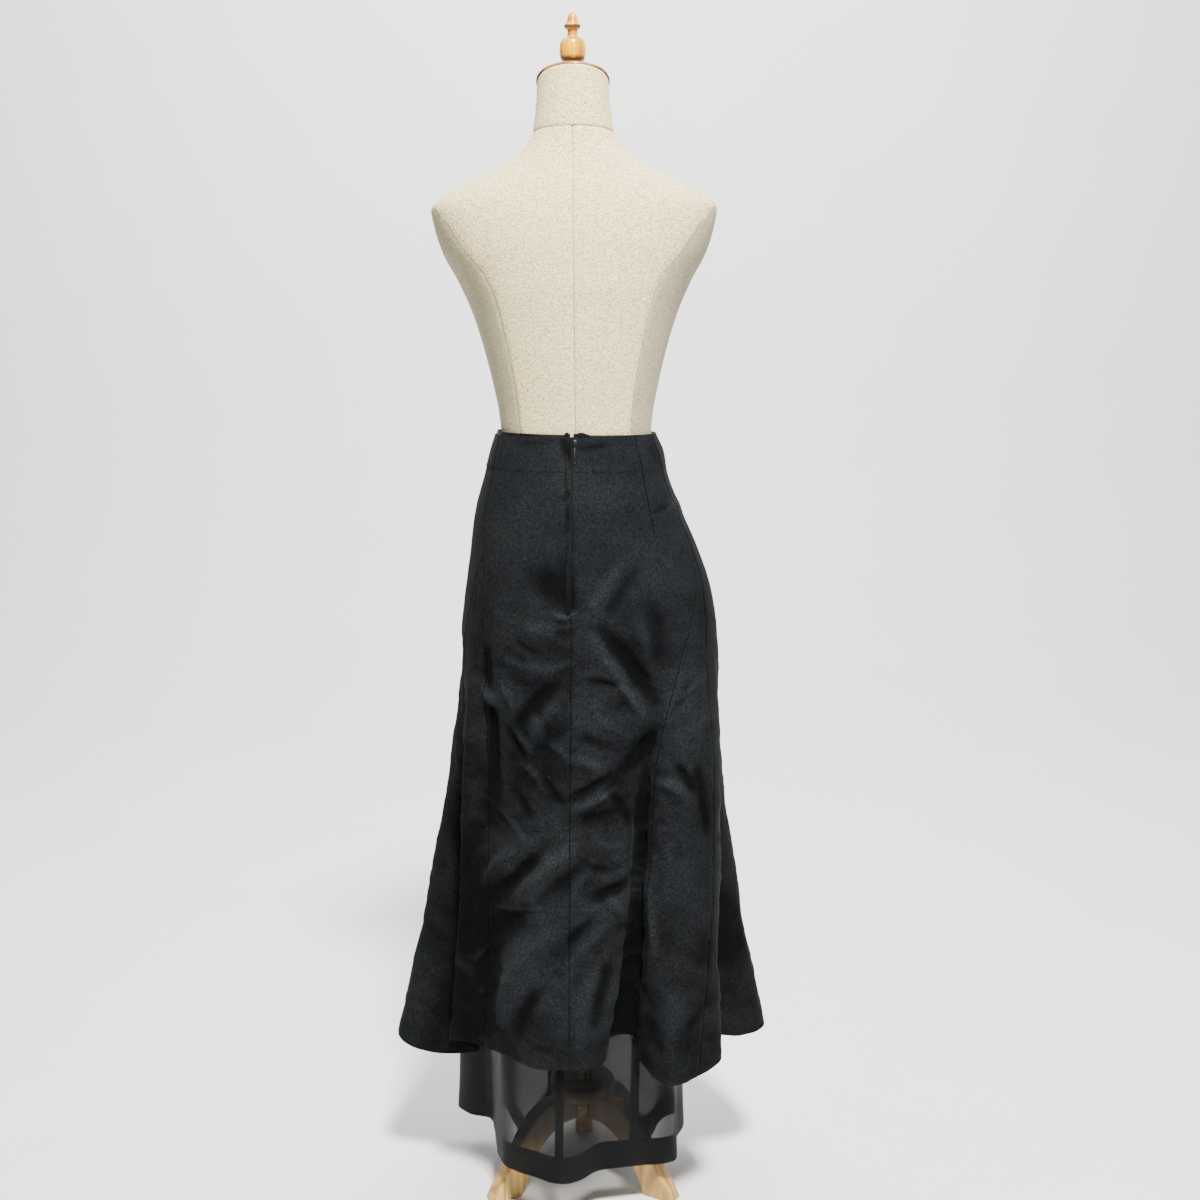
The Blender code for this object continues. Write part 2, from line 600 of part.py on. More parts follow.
# Dress form
form_count = 36
form_z = [0.735, 0.760, 0.815, 0.87, 0.93, 0.99, 1.045, 1.092, 1.14, 1.20, 1.25, 1.294]
form_z += [1.333, 1.365, 1.385, 1.396, 1.406, 1.420, 1.440, 1.460, 1.482]
loops = []
for z in form_z:
    half, back, front = smooth(FORM_ROWS, z)[0]
    pts = [oval(360 * k / form_count, half, half, back, front) for k in range(form_count)]
    slope = 0.12 * max(0.0, (z - 1.434) / (1.482 - 1.434))
    loops.append([(p[0], p[1], z + slope * p[1]) for p in pts])
stack("form_torso", "linen", loops)
neck_loops = []
for share in (0.0, 0.25, 0.5, 0.75, 1.0):
    ring = []
    for k in range(form_count):
        half = 0.0535 + (NECK_R - 0.0535) * min(1.0, 1.8 * share - 0.8 * share**2)
        deep_b = 0.0530 + (NECK_R - 0.0530) * share
        deep_f = -0.0520 + (-NECK_R + 0.0520) * share
        p = oval(360 * k / form_count, half, half, deep_b, deep_f, 2.25 - 0.25 * share)
        low = 1.482 + GAP + 0.12 * p[1]
        high = NECK_TOP_Z + math.tan(NECK_TILT) * p[1]
        ring.append((p[0], p[1], low + (high - low) * share))
    neck_loops.append(ring)
stack("form_neck", "linen", neck_loops)


def tilted(radius, lift, count):
    """Ring parallel to the neck's top, `lift` above it along its axis."""
    ring = circle(radius, 0.0, count)
    c, s = math.cos(NECK_TILT), math.sin(NECK_TILT)
    return [(p[0], p[1] * c - lift * s, NECK_TOP_Z + p[1] * s + lift * c) for p in ring]


stack("neck_cap", "wood", [
    tilted(CAP_R, GAP, 36),
    tilted(CAP_R, GAP + CAP_T - 0.002, 36),
    tilted(CAP_R - 0.002, GAP + CAP_T, 36),
])
cap_top = NECK_TOP_Z + (CAP_T + 2 * GAP) / math.cos(NECK_TILT)
finial_loops = []
for i, (radius, lift) in enumerate(FINIAL_ROWS):
    ring = circle(radius, cap_top + lift, 20)
    if i == 0:
        ring[:, 2] = cap_top + math.tan(NECK_TILT) * ring[:, 1]
    finial_loops.append(ring)
stack("neck_finial", "wood", finial_loops)

# Stand
stack("stand_pole", "wood", [circle(POLE_R, HUB_TOP_Z + GAP, 24), circle(POLE_R, FORM_BOTTOM_Z - GAP, 24)])
stack("stand_hub", "wood", [
    circle(HUB_R - 0.002, HUB_BOTTOM_Z, 32),
    circle(HUB_R, HUB_BOTTOM_Z + 0.002, 32),
    circle(HUB_R, HUB_TOP_Z - 0.003, 32),
    circle(HUB_R - 0.003, HUB_TOP_Z, 32),
])
leg_curve = smooth([(i,) + row for i, row in enumerate(LEG_ROWS)], np.linspace(0, len(LEG_ROWS) - 1, 12))
for name, place in LEG_PLACES.items():
    a = math.radians(place)
    out_dir = np.array([-math.sin(a), math.cos(a), 0.0])
    side_dir = np.array([math.cos(a), math.sin(a), 0.0])
    loops = []
    for r_out, z_out, r_in, z_in in leg_curve:
        top = out_dir * r_out + np.array([0, 0, z_out])
        low = out_dir * r_in + np.array([0, 0, z_in])
        along = (top - low) / np.linalg.norm(top - low)
        ring = []
        for base, end in ((top, -1), (low, 1)):
            order = (-1, 1) if end < 0 else (1, -1)
            for side in order:
                full = base + side_dir * side * LEG_T / 2
                near = base + side_dir * side * (LEG_T / 2 - LEG_CHAMFER)
                inset = full + along * end * LEG_CHAMFER
                ring += [inset, near] if side == order[0] else [near, inset]
        loops.append(ring)
    stack(name, "wood", loops)
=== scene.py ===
"""Looks of a long wool skirt with a sheer underskirt, on a linen dress form with a wooden stand.

Metres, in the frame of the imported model: +Z up, the wearer faces -Y, the wearer's right is -X.
"""

import math
from itertools import product

import bpy
import numpy as np
from mathutils import Matrix, Vector, noise


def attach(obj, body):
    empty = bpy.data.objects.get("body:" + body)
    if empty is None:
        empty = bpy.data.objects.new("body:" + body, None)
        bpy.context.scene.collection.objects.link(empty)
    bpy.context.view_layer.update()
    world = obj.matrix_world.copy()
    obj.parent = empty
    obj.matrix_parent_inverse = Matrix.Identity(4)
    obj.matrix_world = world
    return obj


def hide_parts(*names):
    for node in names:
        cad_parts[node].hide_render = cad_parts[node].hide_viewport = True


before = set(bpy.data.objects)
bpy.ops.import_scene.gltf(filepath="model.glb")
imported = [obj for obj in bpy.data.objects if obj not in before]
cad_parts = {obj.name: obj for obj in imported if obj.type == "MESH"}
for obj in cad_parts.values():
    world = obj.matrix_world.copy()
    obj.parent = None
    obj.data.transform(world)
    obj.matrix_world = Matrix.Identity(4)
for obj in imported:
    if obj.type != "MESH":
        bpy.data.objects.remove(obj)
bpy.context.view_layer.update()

CLOTH_BODY = "skirt_on_form"
PULL_BODY = "zip_pull_tab"

# Sizes shared with the solids
WOOL_T = 0.0016
WAIST_Z = 1.092
FACING_H = 0.045
GODET_TOP_Z = 0.945
GAP = 0.0003
SHEER_TOP_Z = WAIST_Z - FACING_H - GAP
SHEER_HEM_H = 0.038
ZIP_END_Z = 0.866
LAP_W = 0.0120
FORM_BOTTOM_Z = 0.735
NECK_R = 0.0465
NECK_TILT = math.radians(18.0)
NECK_TOP_Z = 1.5495
CAP_T = 0.006
CAP_R = 0.0480
POLE_R = 0.0140
HUB_R = 0.0470
HUB_TOP_Z = 0.152
HUB_BOTTOM_Z = 0.130
LEG_T = 0.026
HIP_Z = 0.80
THIGH_Z = 0.63
KNEE_Z = 0.42
CALF_Z = 0.27

# Sizes of what only shows here
WOOL_SHELL = 0.0011  # thickness of the shown wool
SHEER_SHELL = 0.0003
FACING_SHELL = 0.0009
TAPE_SHELL = 0.0005
LAP_SHELL = 0.0010
SEAM_GROOVE = 0.0011  # depth of a seam's groove
DART_GROOVE = 0.0013
GROOVE_HALF = 0.0011
SEAM_LINE_R = 0.00038
ALLOWANCE_STEP = 0.00035  # rise of the wool over what is turned under at a seam or hem
DART_STEP = 0.0006
FACING_STEP = 0.0008
FACING_LINE_Z = 1.0455  # height at the centre back of the facing's edge, pressed through
FACING_SLANT = 0.018  # its rise to the wearer's left
HEM_TURN = 0.034  # depth of the wool's turned hem
CREASE_GAIN = 1.9  # all creases deeper or shallower
PAINTED_SHADE_HEIGHT = 0.0026  # height of a crease whose painted shade or highlight reaches about three quarters
STITCH = 0.0030  # length of a stitch with its gap
THREAD_R = 0.00022
LAP_LIFT = 0.0014  # the lap's face above the skirt's

# Sections of the form: height, half width, back, front
FORM_ROWS = [
    (0.735, 0.1380, 0.1040, -0.0900),
    (0.760, 0.1430, 0.1080, -0.0940),
    (0.817, 0.1475, 0.1150, -0.0980),
    (0.874, 0.1450, 0.1125, -0.0990),
    (0.930, 0.1385, 0.1030, -0.0980),
    (0.985, 0.1290, 0.0920, -0.0945),
    (1.040, 0.1140, 0.0808, -0.0885),
    (1.092, 0.1020, 0.0722, -0.0820),
    (1.121, 0.1045, 0.0745, -0.0845),
    (1.148, 0.1095, 0.0785, -0.0900),
    (1.201, 0.1220, 0.0860, -0.1040),
    (1.254, 0.1385, 0.0920, -0.1210),
    (1.294, 0.1560, 0.0960, -0.1290),
    (1.333, 0.1765, 0.0960, -0.1210),
    (1.365, 0.1860, 0.0930, -0.1040),
    (1.388, 0.1895, 0.0880, -0.0900),
    (1.402, 0.1770, 0.0840, -0.0820),
    (1.420, 0.1450, 0.0775, -0.0740),
    (1.440, 0.1030, 0.0680, -0.0660),
    (1.460, 0.0700, 0.0600, -0.0580),
    (1.482, 0.0535, 0.0530, -0.0520),
]

# Sections of the wool skirt above the folds: height, left half, right half, back, front
RING_ROWS = [
    (0.760, 0.1605, 0.1980, 0.1290, -0.1180),
    (0.817, 0.1605, 0.1935, 0.1270, -0.1130),
    (0.874, 0.1550, 0.1850, 0.1210, -0.1090),
    (0.930, 0.1475, 0.1680, 0.1110, -0.1050),
    (0.985, 0.1402, 0.1442, 0.1000, -0.1010),
    (1.040, 0.1254, 0.1240, 0.0890, -0.0960),
    (1.067, 0.1182, 0.1192, 0.0835, -0.0920),
    (1.092, 0.1100, 0.1080, 0.0785, -0.0885),
]

# Fold lines of the wool skirt, from the centre back round by the right side.
# name, places at waist, godet point and hip in degrees, x and y at thigh, knee and hem, height of the hem
WOOL_LINES = [
    ("centre_back", -2, -1.5, -2, 0.011, 0.130, 0.014, 0.137, 0.016, 0.150, 0.237),
    ("back_r1", 24, 19, 14, -0.038, 0.125, -0.027, 0.132, -0.010, 0.146, 0.237),
    ("back_r2", 45, 40, 28, -0.073, 0.117, -0.058, 0.123, -0.033, 0.130, 0.238),
    ("fold_r1", 53, 52, 34, -0.083, 0.100, -0.066, 0.091, -0.042, 0.079, 0.250),
    ("fold_r2", 60, 61, 38, -0.092, 0.098, -0.085, 0.090, -0.074, 0.079, 0.250),
    ("godet_r1", 67, 69, 43, -0.101, 0.113, -0.092, 0.108, -0.078, 0.092, 0.228),
    ("godet_r2", 68, 70, 53, -0.147, 0.118, -0.141, 0.134, -0.120, 0.150, 0.215),
    ("godet_r3", 69, 71, 60, -0.182, 0.092, -0.178, 0.112, -0.160, 0.132, 0.219),
    ("side_r1", 75, 77, 70, -0.193, 0.066, -0.192, 0.083, -0.194, 0.100, 0.228),
    ("side_r2", 84, 85, 81, -0.190, 0.038, -0.182, 0.041, -0.178, 0.045, 0.235),
    ("side_r3", 93, 93, 92, -0.198, 0.012, -0.216, 0.017, -0.230, 0.024, 0.226),
    ("side_r4", 103, 103, 103, -0.200, -0.016, -0.230, -0.006, -0.263, 0.000, 0.2285),
    ("front_r1", 127, 126, 122, -0.180, -0.085, -0.210, -0.098, -0.243, -0.095, 0.232),
    ("front_r2", 146, 145, 143, -0.128, -0.126, -0.148, -0.144, -0.167, -0.157, 0.232),
    ("front_r3", 163, 163, 162, -0.072, -0.127, -0.080, -0.128, -0.088, -0.127, 0.236),
    ("centre_front", 180, 180, 180, 0.000, -0.141, 0.000, -0.154, 0.000, -0.166, 0.232),
    ("front_l3", 197, 197, 198, 0.066, -0.127, 0.078, -0.128, 0.088, -0.127, 0.236),
    ("front_l2", 214, 214, 217, 0.120, -0.124, 0.142, -0.142, 0.167, -0.157, 0.232),
    ("front_l1", 233, 233, 238, 0.166, -0.080, 0.202, -0.095, 0.243, -0.095, 0.226),
    ("side_l4", 268, 270, 268, 0.184, -0.006, 0.222, -0.002, 0.265, 0.000, 0.2155),
    ("side_l3", 280, 285, 278, 0.175, 0.016, 0.194, 0.016, 0.224, 0.016, 0.199),
    ("godet_l3", 294.5, 301.5, 288, 0.157, 0.036, 0.153, 0.029, 0.150, 0.024, 0.205),
    ("godet_l2", 295.5, 302.5, 298, 0.158, 0.066, 0.171, 0.061, 0.189, 0.051, 0.235),
    ("godet_l1", 296.5, 303.5, 311, 0.123, 0.081, 0.129, 0.076, 0.137, 0.080, 0.238),
    ("back_l1", 325, 329, 332, 0.085, 0.113, 0.095, 0.110, 0.106, 0.105, 0.238),
    ("back_l2", 343.5, 346, 346.5, 0.048, 0.126, 0.054, 0.128, 0.067, 0.140, 0.237),
]

# Sections of the underskirt on the form: height, half width, back, front
SHEER_RINGS = [
    (0.735, 0.1450, 0.1090, -0.0960),
    (0.817, 0.1515, 0.1178, -0.1025),
    (0.874, 0.1490, 0.1158, -0.1030),
    (0.930, 0.1423, 0.1060, -0.1015),
    (0.985, 0.1335, 0.0950, -0.0978),
    (1.047, 0.1182, 0.0838, -0.0928),
]

# Fold lines of the underskirt: name, place on the form in degrees, x and y at the calf and hem,
# height of the hem
SHEER_LINES = [
    ("centre_back", -4, 0.028, 0.126, 0.031, 0.141, 0.064),
    ("back_r1", 8, -0.004, 0.112, 0.008, 0.136, 0.064),
    ("back_r2", 24, -0.036, 0.070, -0.024, 0.108, 0.064),
    ("seam_r", 42, -0.078, 0.066, -0.072, 0.098, 0.064),
    ("back_r3", 62, -0.122, 0.066, -0.130, 0.080, 0.062),
    ("side_r1", 80, -0.138, 0.018, -0.136, 0.020, 0.060),
    ("side_r2", 97, -0.148, -0.028, -0.151, -0.030, 0.060),
    ("side_r3", 111, -0.142, -0.064, -0.145, -0.062, 0.058),
    ("side_r4", 123, -0.122, -0.066, -0.122, -0.052, 0.056),
    ("front_r1", 136, -0.096, -0.030, -0.092, 0.010, 0.052),
    ("front_r2", 150, -0.066, -0.108, -0.062, -0.104, 0.044),
    ("front_r3", 166, -0.030, -0.138, -0.030, -0.152, 0.036),
    ("front_l3", 184, 0.014, -0.138, 0.016, -0.152, 0.036),
    ("seam_l", 202, 0.054, -0.106, 0.052, -0.102, 0.044),
    ("front_l1", 222, 0.086, -0.030, 0.080, 0.016, 0.052),
    ("side_l5", 237, 0.124, -0.088, 0.125, -0.088, 0.058),
    ("side_l4", 249, 0.160, -0.106, 0.170, -0.108, 0.060),
    ("side_l3", 261, 0.182, -0.078, 0.192, -0.080, 0.062),
    ("side_l2", 273, 0.166, -0.048, 0.170, -0.054, 0.062),
    ("side_l1", 286, 0.142, -0.030, 0.140, -0.042, 0.062),
    ("back_l3", 300, 0.126, 0.030, 0.127, 0.030, 0.064),
    ("back_l2", 318, 0.106, 0.080, 0.112, 0.089, 0.064),
    ("back_l1", 338, 0.066, 0.108, 0.075, 0.119, 0.064),
]

# Edge profiles of a leg from the hub to the floor: distance from the pole and height, outside then inside
LEG_ROWS = [
    (0.0160, 0.1297, 0.0160, 0.0940),
    (0.0400, 0.1297, 0.0380, 0.0920),
    (0.0620, 0.1270, 0.0520, 0.0850),
    (0.0830, 0.1130, 0.0660, 0.0740),
    (0.1010, 0.0920, 0.0780, 0.0600),
    (0.1160, 0.0670, 0.0880, 0.0440),
    (0.1320, 0.0400, 0.0960, 0.0270),
    (0.1470, 0.0150, 0.1030, 0.0110),
    (0.1550, 0.0000, 0.1070, 0.0000),
]
LEG_PLACES = {"leg_right": 60.0, "leg_front": 180.0, "leg_left": 300.0}

# Turned profile of the finial: height above the cap and radius
FINIAL_ROWS = [
    (0.0000, 0.0120),
    (0.0150, 0.0112),
    (0.0180, 0.0120),
    (0.0205, 0.0150),
    (0.0270, 0.0168),
    (0.0330, 0.0172),
    (0.0400, 0.0166),
    (0.0450, 0.0148),
    (0.0478, 0.0112),
    (0.0490, 0.0078),
    (0.0510, 0.0068),
    (0.0560, 0.0066),
    (0.0590, 0.0075),
    (0.0603, 0.0104),
    (0.0630, 0.0108),
    (0.0650, 0.0104),
    (0.0662, 0.0082),
    (0.0690, 0.0072),
    (0.0735, 0.0062),
    (0.0775, 0.0046),
    (0.0795, 0.0022),
]
FINIAL_TIP = (0.0803, 0.0012)

# Creases pressed into the back of the skirt, as soft lines through three points of the back seen
# square on, in millimetres: name, start x and z, middle x and z, end x and z, half width, height
# (below 0 for a hollow)
CREASES = [
    ("hollow_at_zip", 52, 908, 30, 898, 10, 878, 14, -4.6),
    ("hollow_by_seam", 16, 930, 12, 905, 10, 874, 7, -2.6),
    ("swell_under_zip", 30, 864, 18, 859, 2, 866, 4.5, 3.4),
    ("swell_left_of_zip", 70, 852, 50, 842, 26, 846, 9, 1.6),
    ("dip_under_zip", 30, 842, 18, 838, 6, 840, 6, -1.4),
    ("streak_right", -40, 858, -54, 884, -84, 926, 7.5, -1.5),
    ("streak_right_ridge", -20, 868, -34, 892, -58, 926, 8, 1.8),
    ("long_hollow_right", -34, 842, -70, 797, -106, 738, 9.5, -3.4),
    ("long_ridge_right", -18, 834, -50, 782, -88, 722, 8, 3.2),
    ("short_ridge_right", -52, 772, -68, 750, -84, 722, 4, 2.2),
    ("level_right", -6, 776, -37, 773, -74, 766, 5, -2),
    ("hip_right", -92, 880, -104, 850, -108, 812, 11, -1.3),
    ("hip_right_ridge", -80, 852, -90, 826, -92, 800, 7, 1.8),
    ("swag_left", 104, 806, 74, 794, 48, 796, 6, 1.8),
    ("swag_left_2", 60, 786, 36, 790, 10, 800, 5, 1.6),
    ("swag_left_hollow", 92, 778, 70, 770, 50, 772, 5, -1.4),
    ("fan_left_1", 82, 832, 70, 820, 52, 814, 4.5, -1.2),
    ("fan_left_2", 58, 740, 46, 722, 40, 700, 5.5, -1.6),
    ("fan_left_3", 40, 690, 24, 682, 12, 668, 5, 1.6),
    ("fan_left_4", 78, 662, 60, 648, 46, 628, 5.5, 1.8),
    ("fan_left_5", 90, 628, 74, 606, 64, 584, 6, -2),
    ("fan_left_6", 44, 640, 30, 618, 18, 604, 5, -1.6),
    ("fan_left_7", 104, 588, 84, 570, 70, 548, 5, 1.8),
    ("fan_right_1", -22, 738, -34, 718, -52, 706, 5, 1.6),
    ("fan_right_2", -62, 812, -78, 788, -98, 776, 5, -1.4),
    ("fan_right_3", -40, 624, -56, 604, -70, 576, 5.5, -2),
    ("fan_right_4", -20, 560, -40, 548, -62, 548, 5, 1.8),
    ("fan_right_5", -8, 528, -30, 516, -54, 520, 5, -1.6),
    ("lap_line", 12.4, 1058, 12.1, 970, 12.4, 885, 1.6, -0.8),
    ("slant_left", 30, 770, 56, 746, 82, 712, 8, -3.8),
    ("slant_left_ridge", 22, 752, 44, 726, 60, 700, 7, 2.4),
    ("knot_left", 100, 764, 92, 751, 86, 734, 5, 2.6),
    ("line_left", 96, 710, 83, 688, 70, 668, 4, -2.2),
    ("line_left_ridge", 88, 716, 75, 696, 62, 678, 4.5, 1.8),
    ("patch_right", -102, 700, -83, 675, -54, 650, 12, -3),
    ("middle_ridge", 4, 672, -16, 661, -34, 650, 7, 2.6),
    ("middle_hollow", 0, 700, -20, 694, -44, 680, 8, -2),
    ("wedge_hollow", 6, 618, -16, 629, -42, 646, 5.5, -3),
    ("wedge_ridge", 8, 598, -18, 609, -50, 626, 5, 3.6),
    ("low_wedge_hollow", -2, 582, -30, 590, -62, 600, 7, -2.2),
    ("slant_low_hollow", 52, 540, 86, 499, 122, 452, 9, -4.8),
    ("slant_low_ridge", 86, 540, 112, 512, 132, 480, 6, 3.2),
    ("slant_mid_ridge", 86, 474, 46, 514, 6, 548, 8, 4.4),
    ("slant_mid_hollow", 60, 468, 30, 496, -4, 520, 7, -2),
    ("pressed_line_left", 128, 446, 67, 459, 12, 461, 2.4, 1.6),
    ("pressed_line_right", 8, 461, -30, 462, -56, 458, 3, 0.9),
    ("broad_low_hollow", 78, 456, 116, 396, 128, 312, 13, -6.2),
    ("broad_low_ridge", 26, 434, 84, 372, 112, 286, 10, 5.6),
    ("edge_low_ridge", 112, 404, 128, 384, 146, 366, 6, 2.8),
    ("edge_low_ridge_2", 120, 342, 130, 330, 142, 316, 5.5, 2.4),
    ("low_left_hollow", 50, 352, 74, 316, 86, 272, 9, -3),
    ("tri_right_hollow", -66, 498, -48, 487, -20, 476, 8, -4),
    ("blob_right", -38, 478, -48, 465, -58, 450, 6, 3),
    ("slant_right", -38, 440, -14, 414, 12, 388, 6.5, 3.4),
    ("slant_right_hollow", -20, 450, 0, 432, 16, 414, 6, -2.6),
    ("low_right_hollow", -44, 388, -30, 350, -22, 300, 9, -2.6),
    ("low_right_ridge", -20, 372, -4, 332, 0, 290, 8, 2.6),
    ("lap_pocket", 16.5, 1087, 14.8, 1075, 11.2, 1063, 3.2, -3),
    ("lap_dip", 20, 1012, 15, 1012, 9.5, 1013, 3.6, -1.3),
    ("lap_dip_low", 13.5, 978, 11.5, 972, 8, 966, 3.6, -1.6),
    ("waist_tuck", -4, 1078, -18, 1077, -46, 1081, 3.4, -2),
    ("waist_tuck_left", 30, 1083, 56, 1083, 82, 1081, 2.2, -0.8),
    ("side_dent_right", -104, 1084, -109, 1070, -116, 1052, 8.5, -4),
    ("side_lump_right", -124, 1000, -130, 996, -140, 988, 6.5, 2.2),
    ("dart_pull", -102, 991, -114, 995, -128, 998, 4, -1.4),
    ("godet_v_1", -171, 772, -156, 760, -137, 746, 4, 2.2),
    ("godet_v_2", -150, 768, -142, 750, -130, 728, 5, -2),
    ("godet_bump", -112, 634, -125, 627, -142, 614, 7, 3.4),
    ("godet_bump_2", -130, 660, -142, 644, -156, 620, 6, -2.6),
    ("godet_hollow", -160, 656, -166, 606, -172, 560, 6, -2.6),
    ("godet_edge_ridge", -94, 500, -98, 446, -100, 390, 5, 3),
    ("godet_low", -128, 330, -120, 300, -118, 262, 10, 2.4),
    ("left_knot", 126, 760, 119, 747, 110, 738, 5, 3.4),
    ("left_valley_lead", 121, 812, 120, 786, 119, 752, 5.5, -3),
    ("left_valley", 114, 736, 114, 690, 112, 612, 6.5, -5),
]

# Places that a fold keeps in the dark: place round the skirt in fold lines, half width, how dark,
# below which height
FOLD_SHADES = [
    (3.7, 1.0, 0.95, 0.74),
    (6.6, 1.2, 0.30, 0.96),
    (9.5, 1.8, 0.40, 0.90),
    (21.4, 1.0, 0.75, 0.76),
    (23.0, 0.6, 0.35, 0.74),
]

# How deep a hollow may go before it meets what lies under the wool: height, depth
DEEPEST = [
    (0.600, 0.0100), (0.760, 0.0085), (0.817, 0.0070), (0.870, 0.0050), (1.030, 0.0046), (1.050, 0.0026),
]

# How far the crumples' places are bent, so that they don't run straight
BEND = 0.020

# Crumples all over the wool: size, seed, height, share left above the hip, how much lower than wide
CRUMPLES = [
    (0.060, 3.0, 0.0036, 0.16, 1.0),
    (0.030, 8.0, 0.0021, 0.14, 1.5),
    (0.014, 33.0, 0.0007, 0.20, 1.0),
]

# Right dart of the back panel, from the waist down: x and z
DART = [(-0.0785, 1.092), (-0.0910, 1.031), (-0.1085, 0.938)]

# Seams of the form's side panels: height and place in degrees on the right; the left mirrors them
PANEL_SEAM = [
    (0.735, 47.0),
    (0.900, 46.0),
    (1.111, 43.9),
    (1.174, 43.1),
    (1.221, 43.0),
    (1.271, 42.8),
    (1.307, 45.3),
    (1.343, 54.0),
    (1.367, 60.5),
    (1.390, 74.0),
    (1.400, 88.0),
]

# The neck's base is the form's highest section; the sections near it lean forward
FORM_TOP_Z, NECK_BASE_R, NECK_BASE_BACK, NECK_BASE_FRONT = FORM_ROWS[-1]
LEAN_Z = 1.434
LEAN = 0.12
PANEL_TOP_Z = 1.398  # where the seams of the side panels end
FORM_SEAM_LOW_Z = 0.74
FORM_SEAM_R = 0.0004
WOOL_HEM_Z = 0.232  # usual height of the wool's hem
FACING_EDGE_Z = 1.0475
ZIP_SIDE = 0.0034  # the slider and its pull, to the right of the centre back
ALLOWANCE_W = 0.012  # width of the chiffon's pressed seam allowances


# Shapes
def smooth(rows, at):
    """Values of a table at places `at`, by monotone cubic steps between its rows."""
    t = np.array([r[0] for r in rows], float)
    v = np.array([r[1:] for r in rows], float)
    h = np.diff(t)[:, None]
    d = np.diff(v, axis=0) / h
    m = np.zeros_like(v)
    m[0], m[-1] = d[0], d[-1]
    for i in range(1, len(t) - 1):
        same = d[i - 1] * d[i] > 0
        w1, w2 = 2 * h[i] + h[i - 1], h[i] + 2 * h[i - 1]
        with np.errstate(divide="ignore", invalid="ignore"):
            mean = (w1 + w2) / (w1 / d[i - 1] + w2 / d[i])
        m[i] = np.where(same, mean, 0.0)
    at = np.clip(np.atleast_1d(at), t[0], t[-1])
    k = np.clip(np.searchsorted(t, at, side="right") - 1, 0, len(t) - 2)
    s = ((at - t[k]) / (t[k + 1] - t[k]))[:, None]
    hk = (t[k + 1] - t[k])[:, None]
    a = 2 * s**3 - 3 * s**2 + 1
    b = s**3 - 2 * s**2 + s
    c = -2 * s**3 + 3 * s**2
    e = s**3 - s**2
    return a * v[k] + b * hk * m[k] + c * v[k + 1] + e * hk * m[k + 1]


def ease(t):
    t = np.clip(t, 0.0, 1.0)
    return t * t * (3 - 2 * t)


def bell(distance, half):
    """1 at no distance, falling softly to about a third at `half`."""
    return np.exp(-((distance / half) ** 2))


def oval(places, left, right, back, front, power=2.25):
    """Points of an oval section; places are in degrees from the centre back, by the right side."""
    a = np.radians(places)
    s, c = np.sin(a), np.cos(a)
    x = -np.sign(s) * np.abs(s) ** (2 / power)
    y = np.sign(c) * np.abs(c) ** (2 / power)
    x = x * np.where(x > 0, left, right)
    return np.stack([x, (back + front) / 2 + (back - front) / 2 * y], axis=-1)


def closed_curve(points, per_span):
    """Closed smooth curve through `points`, with `per_span` steps after each."""
    pts = np.array(points, float)
    n = len(pts)
    p = [np.roll(pts, 1 - j, axis=0) for j in range(4)]
    step = [np.maximum(np.linalg.norm(p[j + 1] - p[j], axis=1), 1e-5) ** 0.5 for j in range(3)]
    t0 = np.zeros(n)
    t1 = t0 + step[0]
    t2 = t1 + step[1]
    t3 = t2 + step[2]
    out = np.zeros((n, per_span, pts.shape[1]))
    for k in range(per_span):
        t = t1 + (t2 - t1) * k / per_span

        def mix(a, b, ta, tb):
            f = ((t - ta) / (tb - ta))[:, None]
            return a * (1 - f) + b * f

        a1, a2, a3 = mix(p[0], p[1], t0, t1), mix(p[1], p[2], t1, t2), mix(p[2], p[3], t2, t3)
        out[:, k] = mix(mix(a1, a2, t0, t2), mix(a2, a3, t1, t3), t1, t2)
    return out.reshape(n * per_span, -1)


def unit(v):
    return v / np.maximum(np.linalg.norm(v, axis=-1, keepdims=True), 1e-12)


def outward(grid):
    """Unit directions out of a sheet whose rows run down and whose columns run round by the right."""
    down = np.gradient(grid, axis=0)
    along = np.gradient(grid, axis=1)
    return unit(np.cross(down, along))


